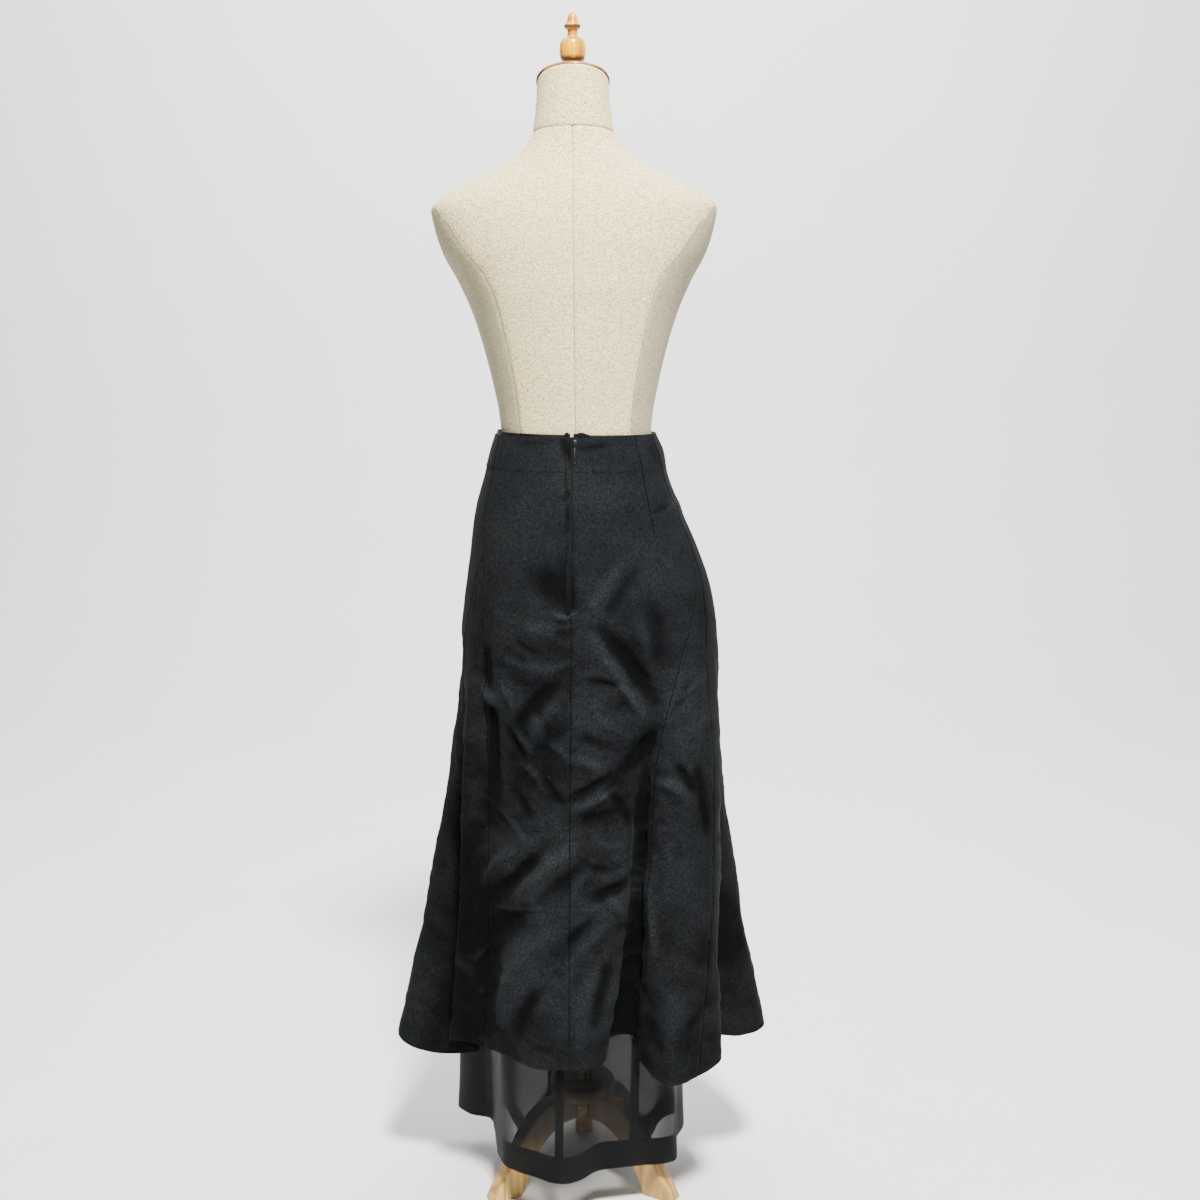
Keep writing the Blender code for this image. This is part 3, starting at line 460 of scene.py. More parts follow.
class Cloth:
    """A hanging tube of cloth, read at a place round it (in fold lines) and a place down it.

    Above ring_z it follows oval sections, below it the fold lines, whose rows hold x and y from the
    columns in `levels` and `hem` on; `counts` steps lie between the heights in `breaks` and the hem.
    """

    SUB = 28  # steps from one fold line to the next
    BLEND = 0.06  # height over which the folds grow out of the sections

    def __init__(self, lines, places, ring_z, ring, levels, hem, breaks, counts):
        self.names = [line[0] for line in lines]
        self.n = n = len(lines)
        sub = self.SUB
        curves = [(z, closed_curve([(l[c], l[c + 1]) for l in lines], sub)) for z, c in levels]
        hem_plan = closed_curve([(l[hem], l[hem + 1]) for l in lines], sub)
        hem_z = closed_curve([(l[hem + 2], l[hem]) for l in lines], sub)[:, 0]
        steps = [k + i / count for k, count in enumerate(counts) for i in range(count)]
        self.t = np.array(steps + [float(len(counts))])
        columns = []
        for u in range(n * sub):
            i, f = divmod(u, sub)
            f /= sub
            here, after = places(lines[i]), places(lines[(i + 1) % n])
            turn = 360.0 if i == n - 1 else 0.0
            angle = [(z, a + (b + turn - a) * f) for (z, a), (_, b) in zip(here, after)]
            ends = list(breaks) + [hem_z[u]]
            z = np.interp(self.t, np.arange(len(ends)), ends)
            on = oval(np.interp(z, *zip(*angle)), *ring(np.maximum(z, ring_z)))
            low = oval(np.interp(ring_z, *zip(*angle)), *ring(np.array([ring_z])))[0]
            above = ring_z + self.BLEND
            high = oval(np.interp(above, *zip(*angle)), *ring(np.array([above])))[0]
            rows = [(hem_z[u], *hem_plan[u])] + [(lz, *curve[u]) for lz, curve in curves]
            rows += [(ring_z, *low), (above, *high)]
            plan = np.where((z >= ring_z)[:, None], on, smooth(rows, z))
            columns.append(np.column_stack([plan, z]))
        self.grid = np.array(columns).transpose(1, 0, 2)
        wide = np.concatenate([self.grid[:, -3:], self.grid, self.grid[:, :3]], axis=1)
        self.out = outward(wide)[:, 3:-3]
        self.reach = np.linalg.norm(np.roll(self.grid, -1, axis=1) - self.grid, axis=2).max(axis=0)

    def place(self, name):
        return self.names.index(name)

    def read(self, table, s, t):
        u = np.mod(s, self.n) * self.SUB
        v = np.interp(t, self.t, np.arange(len(self.t)))
        u0 = np.floor(u).astype(int)
        v0 = np.minimum(np.floor(v).astype(int), len(self.t) - 2)
        fu, fv = (u - u0)[..., None], (v - v0)[..., None]
        cols = self.grid.shape[1]
        a, b = table[v0, u0 % cols], table[v0, (u0 + 1) % cols]
        c, d = table[v0 + 1, u0 % cols], table[v0 + 1, (u0 + 1) % cols]
        return (a * (1 - fu) + b * fu) * (1 - fv) + (c * (1 - fu) + d * fu) * fv

    def point(self, s, t):
        return self.read(self.grid, s, t)

    def surface(self, s, t):
        """Point and outward direction."""
        return self.point(s, t), unit(self.read(self.out, s, t))

    def spread(self, lo, hi, spacing, edges=(0.0005, 0.0013, 0.0026, 0.005)):
        """Places from lo to hi about `spacing` apart where the cloth is widest, closer at both edges."""
        fine = np.linspace(lo, hi, int((hi - lo) * self.SUB * 2) + 1)
        mid = (fine[1:] + fine[:-1]) / 2
        idx = np.floor(np.mod(mid, self.n) * self.SUB).astype(int) % self.grid.shape[1]
        arc = np.concatenate([[0.0], np.cumsum(self.reach[idx] * np.diff(fine) * self.SUB)])
        total = arc[-1]
        inner = np.linspace(edges[-1], total - edges[-1], max(2, round(total / spacing)))
        at = np.concatenate([[0.0], edges[:-1], inner, [total - e for e in reversed(edges[:-1])], [total]])
        return np.interp(at, arc, fine)

    def t_at(self, z, s):
        """Place down the cloth where it is at height z, at a place s round it."""
        column = self.read(self.grid, np.full(len(self.t), float(s)), self.t)[:, 2]
        return np.interp(-np.asarray(z, float), -column, self.t)

    def beside(self, s, metres, z):
        """Place round the cloth `metres` from place s, towards the right side, at height z."""
        t = self.t_at(z, s)
        width = np.linalg.norm(self.point(s + 0.05, t) - self.point(s - 0.05, t)) / 0.1
        return s + metres / width, t


def wool_places(line):
    return [(HIP_Z, line[3]), (GODET_TOP_Z, line[2]), (WAIST_Z, line[1])]


def wool_ring(z):
    return smooth(RING_ROWS, z).T


def sheer_places(line):
    return [(FORM_BOTTOM_Z, line[1]), (SHEER_TOP_Z, line[1])]


def sheer_ring(z):
    half, back, front = smooth(SHEER_RINGS, z).T
    return half, half, back, front


wool = Cloth(WOOL_LINES, wool_places, HIP_Z, wool_ring, [(KNEE_Z, 6), (THIGH_Z, 4)], 8,
             [WAIST_Z, GODET_TOP_Z], [60, 240])
sheer = Cloth(SHEER_LINES, sheer_places, FORM_BOTTOM_Z, sheer_ring, [(CALF_Z, 2)], 4, [SHEER_TOP_Z], [300])


# Meshes
def finish_object(name, verts, faces, mat, body=CLOTH_BODY, uv=None, slot=None):
    mesh = bpy.data.meshes.new(name)
    mesh.from_pydata(verts, [], faces)
    if uv is not None:
        layer = mesh.uv_layers.new(name="cloth")
        loops = np.zeros(len(mesh.loops), np.int64)
        mesh.loops.foreach_get("vertex_index", loops)
        layer.data.foreach_set("uv", np.asarray(uv, np.float32)[loops].ravel())
    mesh.polygons.foreach_set("use_smooth", np.full(len(mesh.polygons), True))
    mesh.update()
    obj = bpy.data.objects.new(name, mesh)
    bpy.context.scene.collection.objects.link(obj)
    mesh.materials.append(mat)
    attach(obj, body)
    return obj


def grid_faces(rows, cols, start, flip=False):
    i, j = np.meshgrid(np.arange(rows - 1), np.arange(cols - 1), indexing="ij")
    a = start + i * cols + j
    quads = np.stack([a, a + cols, a + cols + 1, a + 1], axis=-1).reshape(-1, 4)
    return quads[:, ::-1] if flip else quads


def tube(start, rings, sides, closed=False):
    """Faces between rings of points; closed joins the last ring to the first."""
    faces = []
    for i in range(rings if closed else rings - 1):
        a, b = start + i * sides, start + (i + 1) % rings * sides
        faces += [(a + k, a + (k + 1) % sides, b + (k + 1) % sides, b + k) for k in range(sides)]
    return faces


def caps(start, rings, sides):
    """Faces that close the first and last rings of a tube."""
    last = start + (rings - 1) * sides
    return [tuple(start + k for k in reversed(range(sides))), tuple(last + k for k in range(sides))]


def lengths(grid, axis):
    """Length along a grid's rows (axis 1) or columns (axis 0), from their first point."""
    steps = np.linalg.norm(np.diff(grid, axis=axis), axis=2)
    return np.insert(np.cumsum(steps, axis=axis), 0, 0.0, axis=axis)


def shell(name, outer, inner, mat, **kw):
    """Closed thin solid between two grids; the rim between them bulges a little."""
    nr, nc = outer.shape[:2]
    size = nr * nc
    rim = [(0, j) for j in range(nc)] + [(i, nc - 1) for i in range(1, nr)]
    rim += [(nr - 1, j) for j in range(nc - 2, -1, -1)] + [(i, 0) for i in range(nr - 2, 0, -1)]
    ids = np.array([i * nc + j for i, j in rim])
    o, n = outer.reshape(-1, 3), inner.reshape(-1, 3)
    nearer = np.array([min(max(i, 1), nr - 2) * nc + min(max(j, 1), nc - 2) for i, j in rim])
    middle = (o[ids] + n[ids]) / 2
    away = unit(middle - (o[nearer] + n[nearer]) / 2)
    thick = np.linalg.norm(o[ids] - n[ids], axis=1, keepdims=True)
    verts = np.concatenate([o, n, middle + away * thick * 0.3])
    count = len(ids)
    after = np.roll(np.arange(count), -1)
    mid = 2 * size + np.arange(count)
    band_1 = np.stack([ids, ids[after], mid[after], mid], axis=1)
    band_2 = np.stack([mid, mid[after], ids[after] + size, ids + size], axis=1)
    faces = np.concatenate([grid_faces(nr, nc, 0), grid_faces(nr, nc, size, flip=True), band_1, band_2])
    u = lengths(outer, 1)
    u -= u[:, nc // 2:nc // 2 + 1]
    uv = np.stack([u, lengths(outer, 0)], axis=-1).reshape(-1, 2)
    uv = np.concatenate([uv, uv, uv[ids]])
    return finish_object(name, verts.tolist(), faces.tolist(), mat, uv=uv, **kw)


def circle(radius, z, count):
    a = np.linspace(0, 2 * math.pi, count, endpoint=False)
    return np.stack([radius * np.cos(a), radius * np.sin(a), np.full(count, z)], axis=1)


def lathe(name, profile, mat, count=96, place=lambda p: p, **kw):
    """Turned solid from (height, radius) rows, with its ends closed."""
    return ring_solid(name, [place(circle(r, z, count)) for z, r in profile], mat, **kw)


def ring_solid(name, rings, mat, **kw):
    """Closed solid through rings of the same count of points, anticlockwise from above, bottom first."""
    rings = np.array(rings)
    nr, nc = rings.shape[:2]
    verts = np.concatenate([rings.reshape(-1, 3), [rings[0].mean(axis=0)], [rings[-1].mean(axis=0)]])
    faces = tube(0, nr, nc)
    for j in range(nc):
        k = (j + 1) % nc
        faces += [(nr * nc, k, j), (nr * nc + 1, (nr - 1) * nc + j, (nr - 1) * nc + k)]
    around = np.linalg.norm(np.roll(rings, -1, axis=1) - rings, axis=2)
    u = np.concatenate([np.zeros((nr, 1)), np.cumsum(around, axis=1)[:, :-1]], axis=1)
    v = np.concatenate([[0.0], np.cumsum(np.linalg.norm(np.diff(rings, axis=0), axis=2).mean(axis=1))])
    uv = np.stack([u, np.repeat(v[:, None], nc, axis=1)], axis=-1).reshape(-1, 2)
    uv = np.concatenate([uv, [[0, v[0]], [0, v[-1]]]])
    return finish_object(name, verts.tolist(), faces, mat, uv=uv, **kw)


# Materials
class Nodes:
    """A material's node tree, with short calls for the nodes used here."""

    def __init__(self, name):
        self.mat = bpy.data.materials.new(name)
        self.mat.use_nodes = True
        self.tree = self.mat.node_tree
        self.shader = self.tree.nodes["Principled BSDF"]

    def node(self, kind, **values):
        n = self.tree.nodes.new(kind)
        for key, value in values.items():
            setattr(n, key, value)
        return n

    def link(self, a, b):
        self.tree.links.new(a, b)

    def set(self, **values):
        for key, value in values.items():
            self.shader.inputs[key.replace("_", " ")].default_value = value

    def attribute(self, name):
        return self.node("ShaderNodeAttribute", attribute_name=name).outputs["Fac"]

    def uv(self):
        return self.node("ShaderNodeUVMap", uv_map="cloth").outputs["UV"]

    def place(self):
        return self.node("ShaderNodeTexCoord").outputs["Object"]

    def scaled(self, vector, scale, turn=0.0):
        m = self.node("ShaderNodeMapping")
        m.inputs["Scale"].default_value = scale
        m.inputs["Rotation"].default_value = (0, 0, turn)
        self.link(vector, m.inputs["Vector"])
        return m.outputs["Vector"]

    def noise(self, vector, scale, detail=2.0, rough=0.5, distort=0.0):
        n = self.node("ShaderNodeTexNoise")
        n.inputs["Scale"].default_value = scale
        n.inputs["Detail"].default_value = detail
        n.inputs["Roughness"].default_value = rough
        n.inputs["Distortion"].default_value = distort
        self.link(vector, n.inputs["Vector"])
        return n.outputs["Fac"]

    def wave(self, vector, scale, direction="X", distort=0.0):
        n = self.node("ShaderNodeTexWave", bands_direction=direction)
        n.inputs["Scale"].default_value = scale
        n.inputs["Distortion"].default_value = distort
        n.inputs["Detail"].default_value = 1.0
        n.inputs["Detail Scale"].default_value = 2.0
        self.link(vector, n.inputs["Vector"])
        return n.outputs["Fac"]

    def ramp(self, value, stops):
        n = self.node("ShaderNodeValToRGB")
        el = n.color_ramp.elements
        while len(el) < len(stops):
            el.new(0.5)
        for e, (at, colour) in zip(el, stops):
            e.position = at
            e.color = (*colour, 1.0)
        self.link(value, n.inputs["Fac"])
        return n.outputs["Color"]

    def span(self, value, low, high, to_low, to_high):
        n = self.node("ShaderNodeMapRange")
        for key, v in (("From Min", low), ("From Max", high), ("To Min", to_low), ("To Max", to_high)):
            n.inputs[key].default_value = v
        self.link(value, n.inputs["Value"])
        return n.outputs["Result"]

    def math(self, how, a, b):
        n = self.node("ShaderNodeMath", operation=how)
        for i, v in enumerate((a, b)):
            if isinstance(v, (int, float)):
                n.inputs[i].default_value = v
            else:
                self.link(v, n.inputs[i])
        return n.outputs["Value"]

    def add(self, a, b):
        return self.math("ADD", a, b)

    def times(self, a, b):
        return self.math("MULTIPLY", a, b)

    def mix(self, factor, a, b, blend="MIX"):
        n = self.node("ShaderNodeMix", data_type="RGBA", blend_type=blend)
        for i, v in ((0, factor), (6, a), (7, b)):
            if isinstance(v, (int, float)):
                n.inputs[i].default_value = v
            elif isinstance(v, tuple):
                n.inputs[i].default_value = (*v, 1.0)
            else:
                self.link(v, n.inputs[i])
        return n.outputs[2]

    def bump(self, height, strength, distance):
        n = self.node("ShaderNodeBump")
        n.inputs["Strength"].default_value = strength
        n.inputs["Distance"].default_value = distance
        self.link(height, n.inputs["Height"])
        return n.outputs["Normal"]

    def finish(self, colour=None, rough=None, normal=None):
        for key, value in (("Base Color", colour), ("Roughness", rough), ("Normal", normal)):
            if value is not None:
                self.link(value, self.shader.inputs[key])
        return self.mat


def toned(stops, shade):
    return [(at, tuple(c * shade for c in colour)) for at, colour in stops]


def wool_material(name, dark=1.0):
    m = Nodes(name)
    uv, place = m.uv(), m.place()
    broad = m.noise(place, 9.0, 3.0, 0.55)
    fuzz = m.noise(place, 640.0, 2.0, 0.7)
    speck = m.noise(place, 300.0, 2.0, 0.6)
    twill = m.wave(m.scaled(uv, (1.0, 1.0, 1.0), math.radians(58)), 260.0, "X", 0.6)
    base = m.ramp(broad, toned([
        (0.30, (0.0060, 0.0070, 0.0081)),
        (0.50, (0.0078, 0.0088, 0.0101)),
        (0.72, (0.0101, 0.0111, 0.0123)),
    ], dark))
    light = m.add(m.times(fuzz, 1.3), m.times(speck, 0.8))
    grain = m.span(light, 0.75, 1.35, 0.30, 1.75)
    grain = m.times(grain, m.span(twill, 0.0, 1.0, 0.85, 1.15))
    colour = m.mix(1.0, base, grain, "MULTIPLY")
    # Painted shade and highlight from the wool's attribute: darker in hollows, folds and at the sides,
    # lighter on ridges and higher up
    colour = m.mix(1.0, colour, m.span(m.attribute("painted_shading"), -1.0, 1.0, 0.28, 1.65), "MULTIPLY")
    lint = m.noise(m.scaled(place, (1.0, 1.0, 0.6)), 420.0, 0.0)
    colour = m.mix(m.span(lint, 0.86, 0.90, 0.0, 0.25), colour, (0.10, 0.10, 0.10))
    normal = m.bump(m.add(m.times(twill, 0.5), fuzz), 0.55, 0.0004)
    rough = m.span(speck, 0.3, 0.7, 0.78, 0.95)
    m.set(Sheen_Weight=0.02, Sheen_Roughness=0.45, Sheen_Tint=(0.75, 0.80, 0.88, 1.0), IOR=1.38)
    m.set(Specular_IOR_Level=0.05)
    return m.finish(colour, rough, normal)


def lining_material(name):
    m = Nodes(name)
    uv, place = m.uv(), m.place()
    weave = m.add(m.wave(uv, 380.0, "X"), m.wave(uv, 380.0, "Y"))
    colour = m.ramp(m.noise(place, 60.0), [(0.3, (0.004, 0.004, 0.005)), (0.7, (0.008, 0.008, 0.009))])
    m.set(Sheen_Weight=0.02, Sheen_Roughness=0.35, IOR=1.35, Specular_IOR_Level=0.15)
    return m.finish(colour, m.span(m.noise(place, 25.0), 0.3, 0.7, 0.48, 0.62), m.bump(weave, 0.3, 0.0002))


def sheer_material(name, alpha):
    m = Nodes(name)
    uv, place = m.uv(), m.place()
    weave = m.times(m.wave(uv, 420.0, "X", 0.4), m.wave(uv, 420.0, "Y", 0.4))
    moire = m.noise(m.scaled(uv, (1.0, 0.25, 1.0)), 40.0, 2.0)
    colour = m.ramp(moire, [(0.3, (0.006, 0.007, 0.008)), (0.7, (0.011, 0.012, 0.013))])
    thick = m.add(m.span(weave, 0.0, 1.0, -0.05, 0.05), m.span(moire, 0.3, 0.7, -0.03, 0.03))
    thick = m.add(thick, m.times(m.attribute("gather"), 0.34))
    m.link(m.add(thick, alpha), m.shader.inputs["Alpha"])
    m.set(Sheen_Weight=0.02, Sheen_Roughness=0.30, IOR=1.35, Specular_IOR_Level=0.08)
    return m.finish(colour, m.span(moire, 0.2, 0.8, 0.42, 0.60), m.bump(weave, 0.2, 0.0002))


def linen_material(name, shade=1.0, grey=0.0):
    m = Nodes(name)
    uv, place = m.uv(), m.place()
    weft = m.noise(m.scaled(uv, (260.0, 1100.0, 1.0)), 1.0, 2.0, 0.6)
    warp = m.noise(m.scaled(uv, (1100.0, 260.0, 1.0)), 1.0, 2.0, 0.6)
    slub = m.noise(m.scaled(uv, (70.0, 420.0, 1.0)), 1.0, 3.0, 0.65)
    age = m.noise(place, 7.0, 3.0, 0.5)
    speck = m.noise(place, 420.0, 2.0, 0.7)
    thread = m.add(m.times(weft, 0.35), m.times(warp, 0.25))
    cloth = m.add(m.times(slub, 0.15), m.times(speck, 0.25))
    colour = m.ramp(m.add(thread, cloth), toned([
        (0.40, (0.230, 0.155, 0.055)),
        (0.47, (0.580, 0.450, 0.205)),
        (0.52, (0.830, 0.710, 0.385)),
        (0.58, (0.990, 0.920, 0.640)),
    ], shade))
    colour = m.mix(m.span(age, 0.42, 0.80, 0.0, 0.22), colour, (0.66 * shade, 0.55 * shade, 0.36 * shade))
    colour = m.mix(grey, colour, (0.50 * shade, 0.49 * shade, 0.38 * shade))
    normal = m.bump(m.add(thread, m.times(slub, 0.6)), 0.65, 0.0007)
    m.set(Sheen_Weight=0.12, Sheen_Roughness=0.5, IOR=1.4, Specular_IOR_Level=0.25)
    return m.finish(colour, m.span(slub, 0.3, 0.7, 0.82, 0.95), normal)


def wood_material(name, stops, coat, along="Z", scale=1.0, rough=(0.34, 0.50), dark_bands=(), shaded_above=None):
    """Wood with its grain along one axis; painted shade darkens it above a height, and it is darker in bands
    of (height, half width).
    """
    m = Nodes(name)
    place = m.place()
    long = {"Z": (1.0, 1.0, 0.09), "Y": (1.0, 0.09, 1.0), "X": (0.09, 1.0, 1.0)}[along]
    grain = m.noise(m.scaled(place, tuple(170.0 * scale * k for k in long)), 1.0, 4.0, 0.62, 0.6)
    rings = m.wave(m.scaled(place, long), 26.0 * scale, "DIAGONAL", 7.0)
    pores = m.noise(m.scaled(place, tuple(900.0 * scale * k * k for k in long)), 1.0, 1.0)
    value = m.add(m.times(grain, 0.62), m.times(rings, 0.38))
    colour = m.ramp(value, stops)
    colour = m.mix(m.span(pores, 0.60, 0.70, 0.0, 0.35), colour, tuple(c * 0.45 for c in stops[0][1]))
    split = m.node("ShaderNodeSeparateXYZ")
    m.link(place, split.inputs["Vector"])
    high = split.outputs["Z"]
    if shaded_above:
        # Painted shade: darker wood above this height, where the skirt keeps the legs in shadow
        shade_mask = m.span(high, shaded_above, shaded_above + 0.025, 0.0, 0.72)
        colour = m.mix(shade_mask, colour, tuple(c * 0.12 for c in stops[0][1]))
    for z, half in dark_bands:
        near = m.math("ABSOLUTE", m.math("SUBTRACT", high, z), 0.0)
        colour = m.mix(m.span(near, half * 0.5, half, 0.90, 0.0), colour, (0.045, 0.018, 0.006))
    m.set(Coat_Weight=coat, Coat_Roughness=0.22, IOR=1.48)
    normal = m.bump(m.add(grain, pores), 0.25, 0.0003)
    return m.finish(colour, m.span(grain, 0.3, 0.7, *rough), normal)


WOOL_MAT = wool_material("wool_twill")
LAP_MAT = wool_material("wool_lap", 0.92)
LINING_MAT = lining_material("lining_satin")
SHEER_MAT = sheer_material("chiffon", 0.57)
SHEER_SEAM_MAT = sheer_material("chiffon_seam", 0.78)
LINEN_MAT = linen_material("linen_slub")
# Darker, greyer copy of the linen: painted shade for the side panels, which face away from the light
LINEN_SHADED_MAT = linen_material("linen_painted_shade", 0.60, 0.40)
PALE_STOPS = [(0.30, (0.36, 0.190, 0.040)), (0.50, (0.47, 0.275, 0.072)), (0.70, (0.60, 0.390, 0.125))]
HONEY_STOPS = [(0.25, (0.46, 0.165, 0.004)), (0.50, (0.72, 0.325, 0.002)), (0.75, (0.92, 0.500, 0.006))]
CAP_STOPS = [(0.25, (0.17, 0.055, 0.008)), (0.50, (0.30, 0.115, 0.018)), (0.75, (0.42, 0.190, 0.040))]
HUB_STOPS = [(0.25, (0.10, 0.052, 0.022)), (0.50, (0.17, 0.092, 0.040)), (0.75, (0.24, 0.140, 0.062))]
FINIAL_FOOT_Z = NECK_TOP_Z + (CAP_T + 2 * GAP) / math.cos(NECK_TILT)
# Darker bands round the finial: under its ball, at the groove above the ball and round the flange
FINIAL_DARK_BANDS = [
    (FINIAL_FOOT_Z + high, half) for high, half in ((0.0185, 0.0070), (0.0458, 0.0008), (0.0612, 0.0026))
]
# The legs get painted shade towards the hub, where they stand in the skirt's shadow
LEG_MAT = wood_material("pine_leg", PALE_STOPS, 0.15, shaded_above=0.062)
POLE_MAT = wood_material("pine_pole", PALE_STOPS, 0.10)
HONEY_MAT = wood_material("varnished_beech", HONEY_STOPS, 0.55, scale=0.8, rough=(0.20, 0.32),
                          dark_bands=FINIAL_DARK_BANDS)
CAP_MAT = wood_material("varnished_cap", CAP_STOPS, 0.50, along="X", rough=(0.24, 0.36))
HUB_MAT = wood_material("hub_wood", HUB_STOPS, 0.20, along="X", scale=0.7)


def plain_material(name, colour, rough, grain=400.0, shine=0.3):
    m = Nodes(name)
    m.set(Specular_IOR_Level=shine)
    speck = m.noise(m.place(), grain, 2.0)
    shade = m.ramp(speck, toned([(0.3, colour)], 0.75) + toned([(0.7, colour)], 1.2))
    return m.finish(shade, m.span(speck, 0.3, 0.7, rough * 0.85, rough * 1.15), m.bump(speck, 0.15, 0.0001))


THREAD_MAT = plain_material("black_thread", (0.0012, 0.0013, 0.0015), 0.95, grain=2500.0, shine=0.0)
TAPE_MAT = plain_material("zip_tape_cloth", (0.006, 0.006, 0.007), 0.85, grain=1500.0, shine=0.05)
COIL_MAT = plain_material("zip_coil_nylon", (0.010, 0.010, 0.011), 0.4, grain=900.0, shine=0.2)
METAL_MAT = plain_material("black_lacquer", (0.009, 0.009, 0.010), 0.45, grain=300.0, shine=0.22)
CAP_LINE_MAT = plain_material("cap_line", (0.030, 0.014, 0.006), 0.6, grain=300.0, shine=0.1)
SEAM_MAT = plain_material("linen_seam", (0.16, 0.125, 0.080), 0.8, grain=900.0)


def cord(name, points, mat, radius, sides=8, closed=False, **kw):
    """Thin round cord along points."""
    points = np.array(points)
    if closed:
        ahead = unit(np.roll(points, -1, axis=0) - np.roll(points, 1, axis=0))
    else:
        ahead = unit(np.gradient(points, axis=0))
    across = unit(np.cross(ahead, np.array([0.31, 0.42, 0.85])))
    other = np.cross(ahead, across)
    verts = []
    for point, a, b in zip(points, across, other):
        for k in range(sides):
            w = 2 * math.pi * k / sides
            verts.append(tuple(point + (a * math.cos(w) + b * math.sin(w)) * radius))
    faces = tube(0, len(points), sides, closed) + ([] if closed else caps(0, len(points), sides))
    return finish_object(name, verts, faces, mat, **kw)


# Relief of the wool
def nearest(x, z, knots):
    """Distance in the back view from a broken line, and the share of the line at the nearest place."""
    best, along = np.full(x.shape, 1e9), np.zeros(x.shape)
    for k, ((ax, az), (bx, bz)) in enumerate(zip(knots[:-1], knots[1:])):
        dx, dz = bx - ax, bz - az
        f = np.clip(((x - ax) * dx + (z - az) * dz) / (dx * dx + dz * dz), 0, 1)
        dist = np.hypot(x - ax - f * dx, z - az - f * dz)
        along = np.where(dist < best, (k + f) / (len(knots) - 1), along)
        best = np.minimum(dist, best)
    return best, along


def crease_relief(points):
    """Height that the creases give at each point of the back."""
    x, y, z = points[..., 0], points[..., 1], points[..., 2]
    total = np.zeros(x.shape)
    for _, *row in CREASES:
        x0, z0, x1, z1, x2, z2, half, height = (v / 1000 for v in row)
        reach = half * 3.2
        box = (x > min(x0, x1, x2) - reach) & (x < max(x0, x1, x2) + reach)
        box &= (z > min(z0, z1, z2) - reach) & (z < max(z0, z1, z2) + reach) & (y > -0.01)
        if not box.any():
            continue
        f = np.linspace(0, 1, 11)
        cx, cz = 2 * x1 - (x0 + x2) / 2, 2 * z1 - (z0 + z2) / 2
        ends = ((x0, cx, x2), (z0, cz, z2))
        curve = np.stack([(1 - f) ** 2 * a + 2 * f * (1 - f) * c + f * f * b for a, c, b in ends], axis=1)
        best, along = nearest(x[box], z[box], curve)
        taper = np.sin(np.pi * np.clip(along * 0.86 + 0.07, 0, 1)) ** 0.8
        total[box] += height * bell(best, half) * taper
    return total


def noise_relief(points, size, seed):
    flat = points.reshape(-1, 3) / size + seed
    return np.array([noise.noise(Vector(p)) for p in flat.tolist()]).reshape(points.shape[:2])


def crumple(points, size, seed):
    """Ridged noise: flat facets with soft edges, as in pressed cloth that has been sat on."""
    return 0.35 - np.abs(noise_relief(points, size, seed))


def edge_distance(grid):
    """Distance along each row from the nearer of the sheet's two side edges."""
    along = lengths(grid, 1)
    return np.minimum(along, along[:, -1:] - along)


def godet_ease(t):
    return np.maximum(ease((t - 1.0) / 0.05), 0.02)


RIGHT_MID, LEFT_MID = wool.place("godet_r2"), wool.place("godet_l2")


def panel_ends(name, t):
    """First and last places of a panel at places t down the cloth."""
    e = np.where(t > 1.0, godet_ease(t), 0.02)
    n = wool.n
    return {
        "back_right": (np.zeros_like(t), RIGHT_MID - e),
        "front": (RIGHT_MID + e, LEFT_MID - e),
        "back_left": (LEFT_MID + e, np.full_like(t, n)),
        "godet_right": (RIGHT_MID - e, RIGHT_MID + e),
        "godet_left": (LEFT_MID - e, LEFT_MID + e),
    }[name]


def down_places(start, spacing):
    """Places down the wool, closer at the waist, at the facing's edge and at the hem."""
    upper = []
    if start < 1.0:
        run = WAIST_Z - GODET_TOP_Z
        upper = list(np.linspace(0, 1, int(run / spacing) + 1)[:-1])
        upper += [0.0006 / run, 0.0016 / run]
        upper += [(WAIST_Z - FACING_EDGE_Z + d) / run for d in (-0.002, -0.001, 0.0, 0.001, 0.002)]
    run = GODET_TOP_Z - WOOL_HEM_Z
    lower = list(np.linspace(max(start, 1.0) - 1.0, 1, int(run / spacing) + 1))
    lower += [1 - d / run for d in (0.0006, 0.0014, 0.0026)]
    lower += [1 - (HEM_TURN + d) / run for d in (-0.0012, 0.0, 0.0012)]
    both = np.unique(np.round(np.array(upper + [1 + x for x in lower]), 7))
    return both[both >= start]


def wool_relief(points):
    """Height of the cloth's own creases and unevenness, the same for every piece of the wool."""
    low = ease((0.95 - points[..., 2]) / 0.25)
    lift = crease_relief(points) * CREASE_GAIN
    bent = points + BEND * np.stack([noise_relief(points, 0.060, 51.0)] * 3, axis=-1)
    for size, seed, high, least, lower in CRUMPLES:
        lift += crumple(bent * np.array([1.0, 1.0, lower]), size, seed) * high * (least + (1 - least) * low)
    lift += noise_relief(points, 0.110, 13.0) * 0.0040 * low
    lift += noise_relief(points, 0.016, 21.0) * 0.00040
    deepest = np.interp(points[..., 2], *zip(*DEEPEST))
    return np.where(lift < 0, -deepest * np.tanh(-lift / deepest), lift)


def write_attribute(piece, name, values, rim):
    """Gives both sides of a shell a value at each place, for its material, and its rim one value."""
    values = values.ravel()
    data = piece.data.attributes.new(name, "FLOAT", "POINT").data
    rims = np.full(len(data) - 2 * values.size, rim)
    data.foreach_set("value", np.concatenate([values, values, rims]))


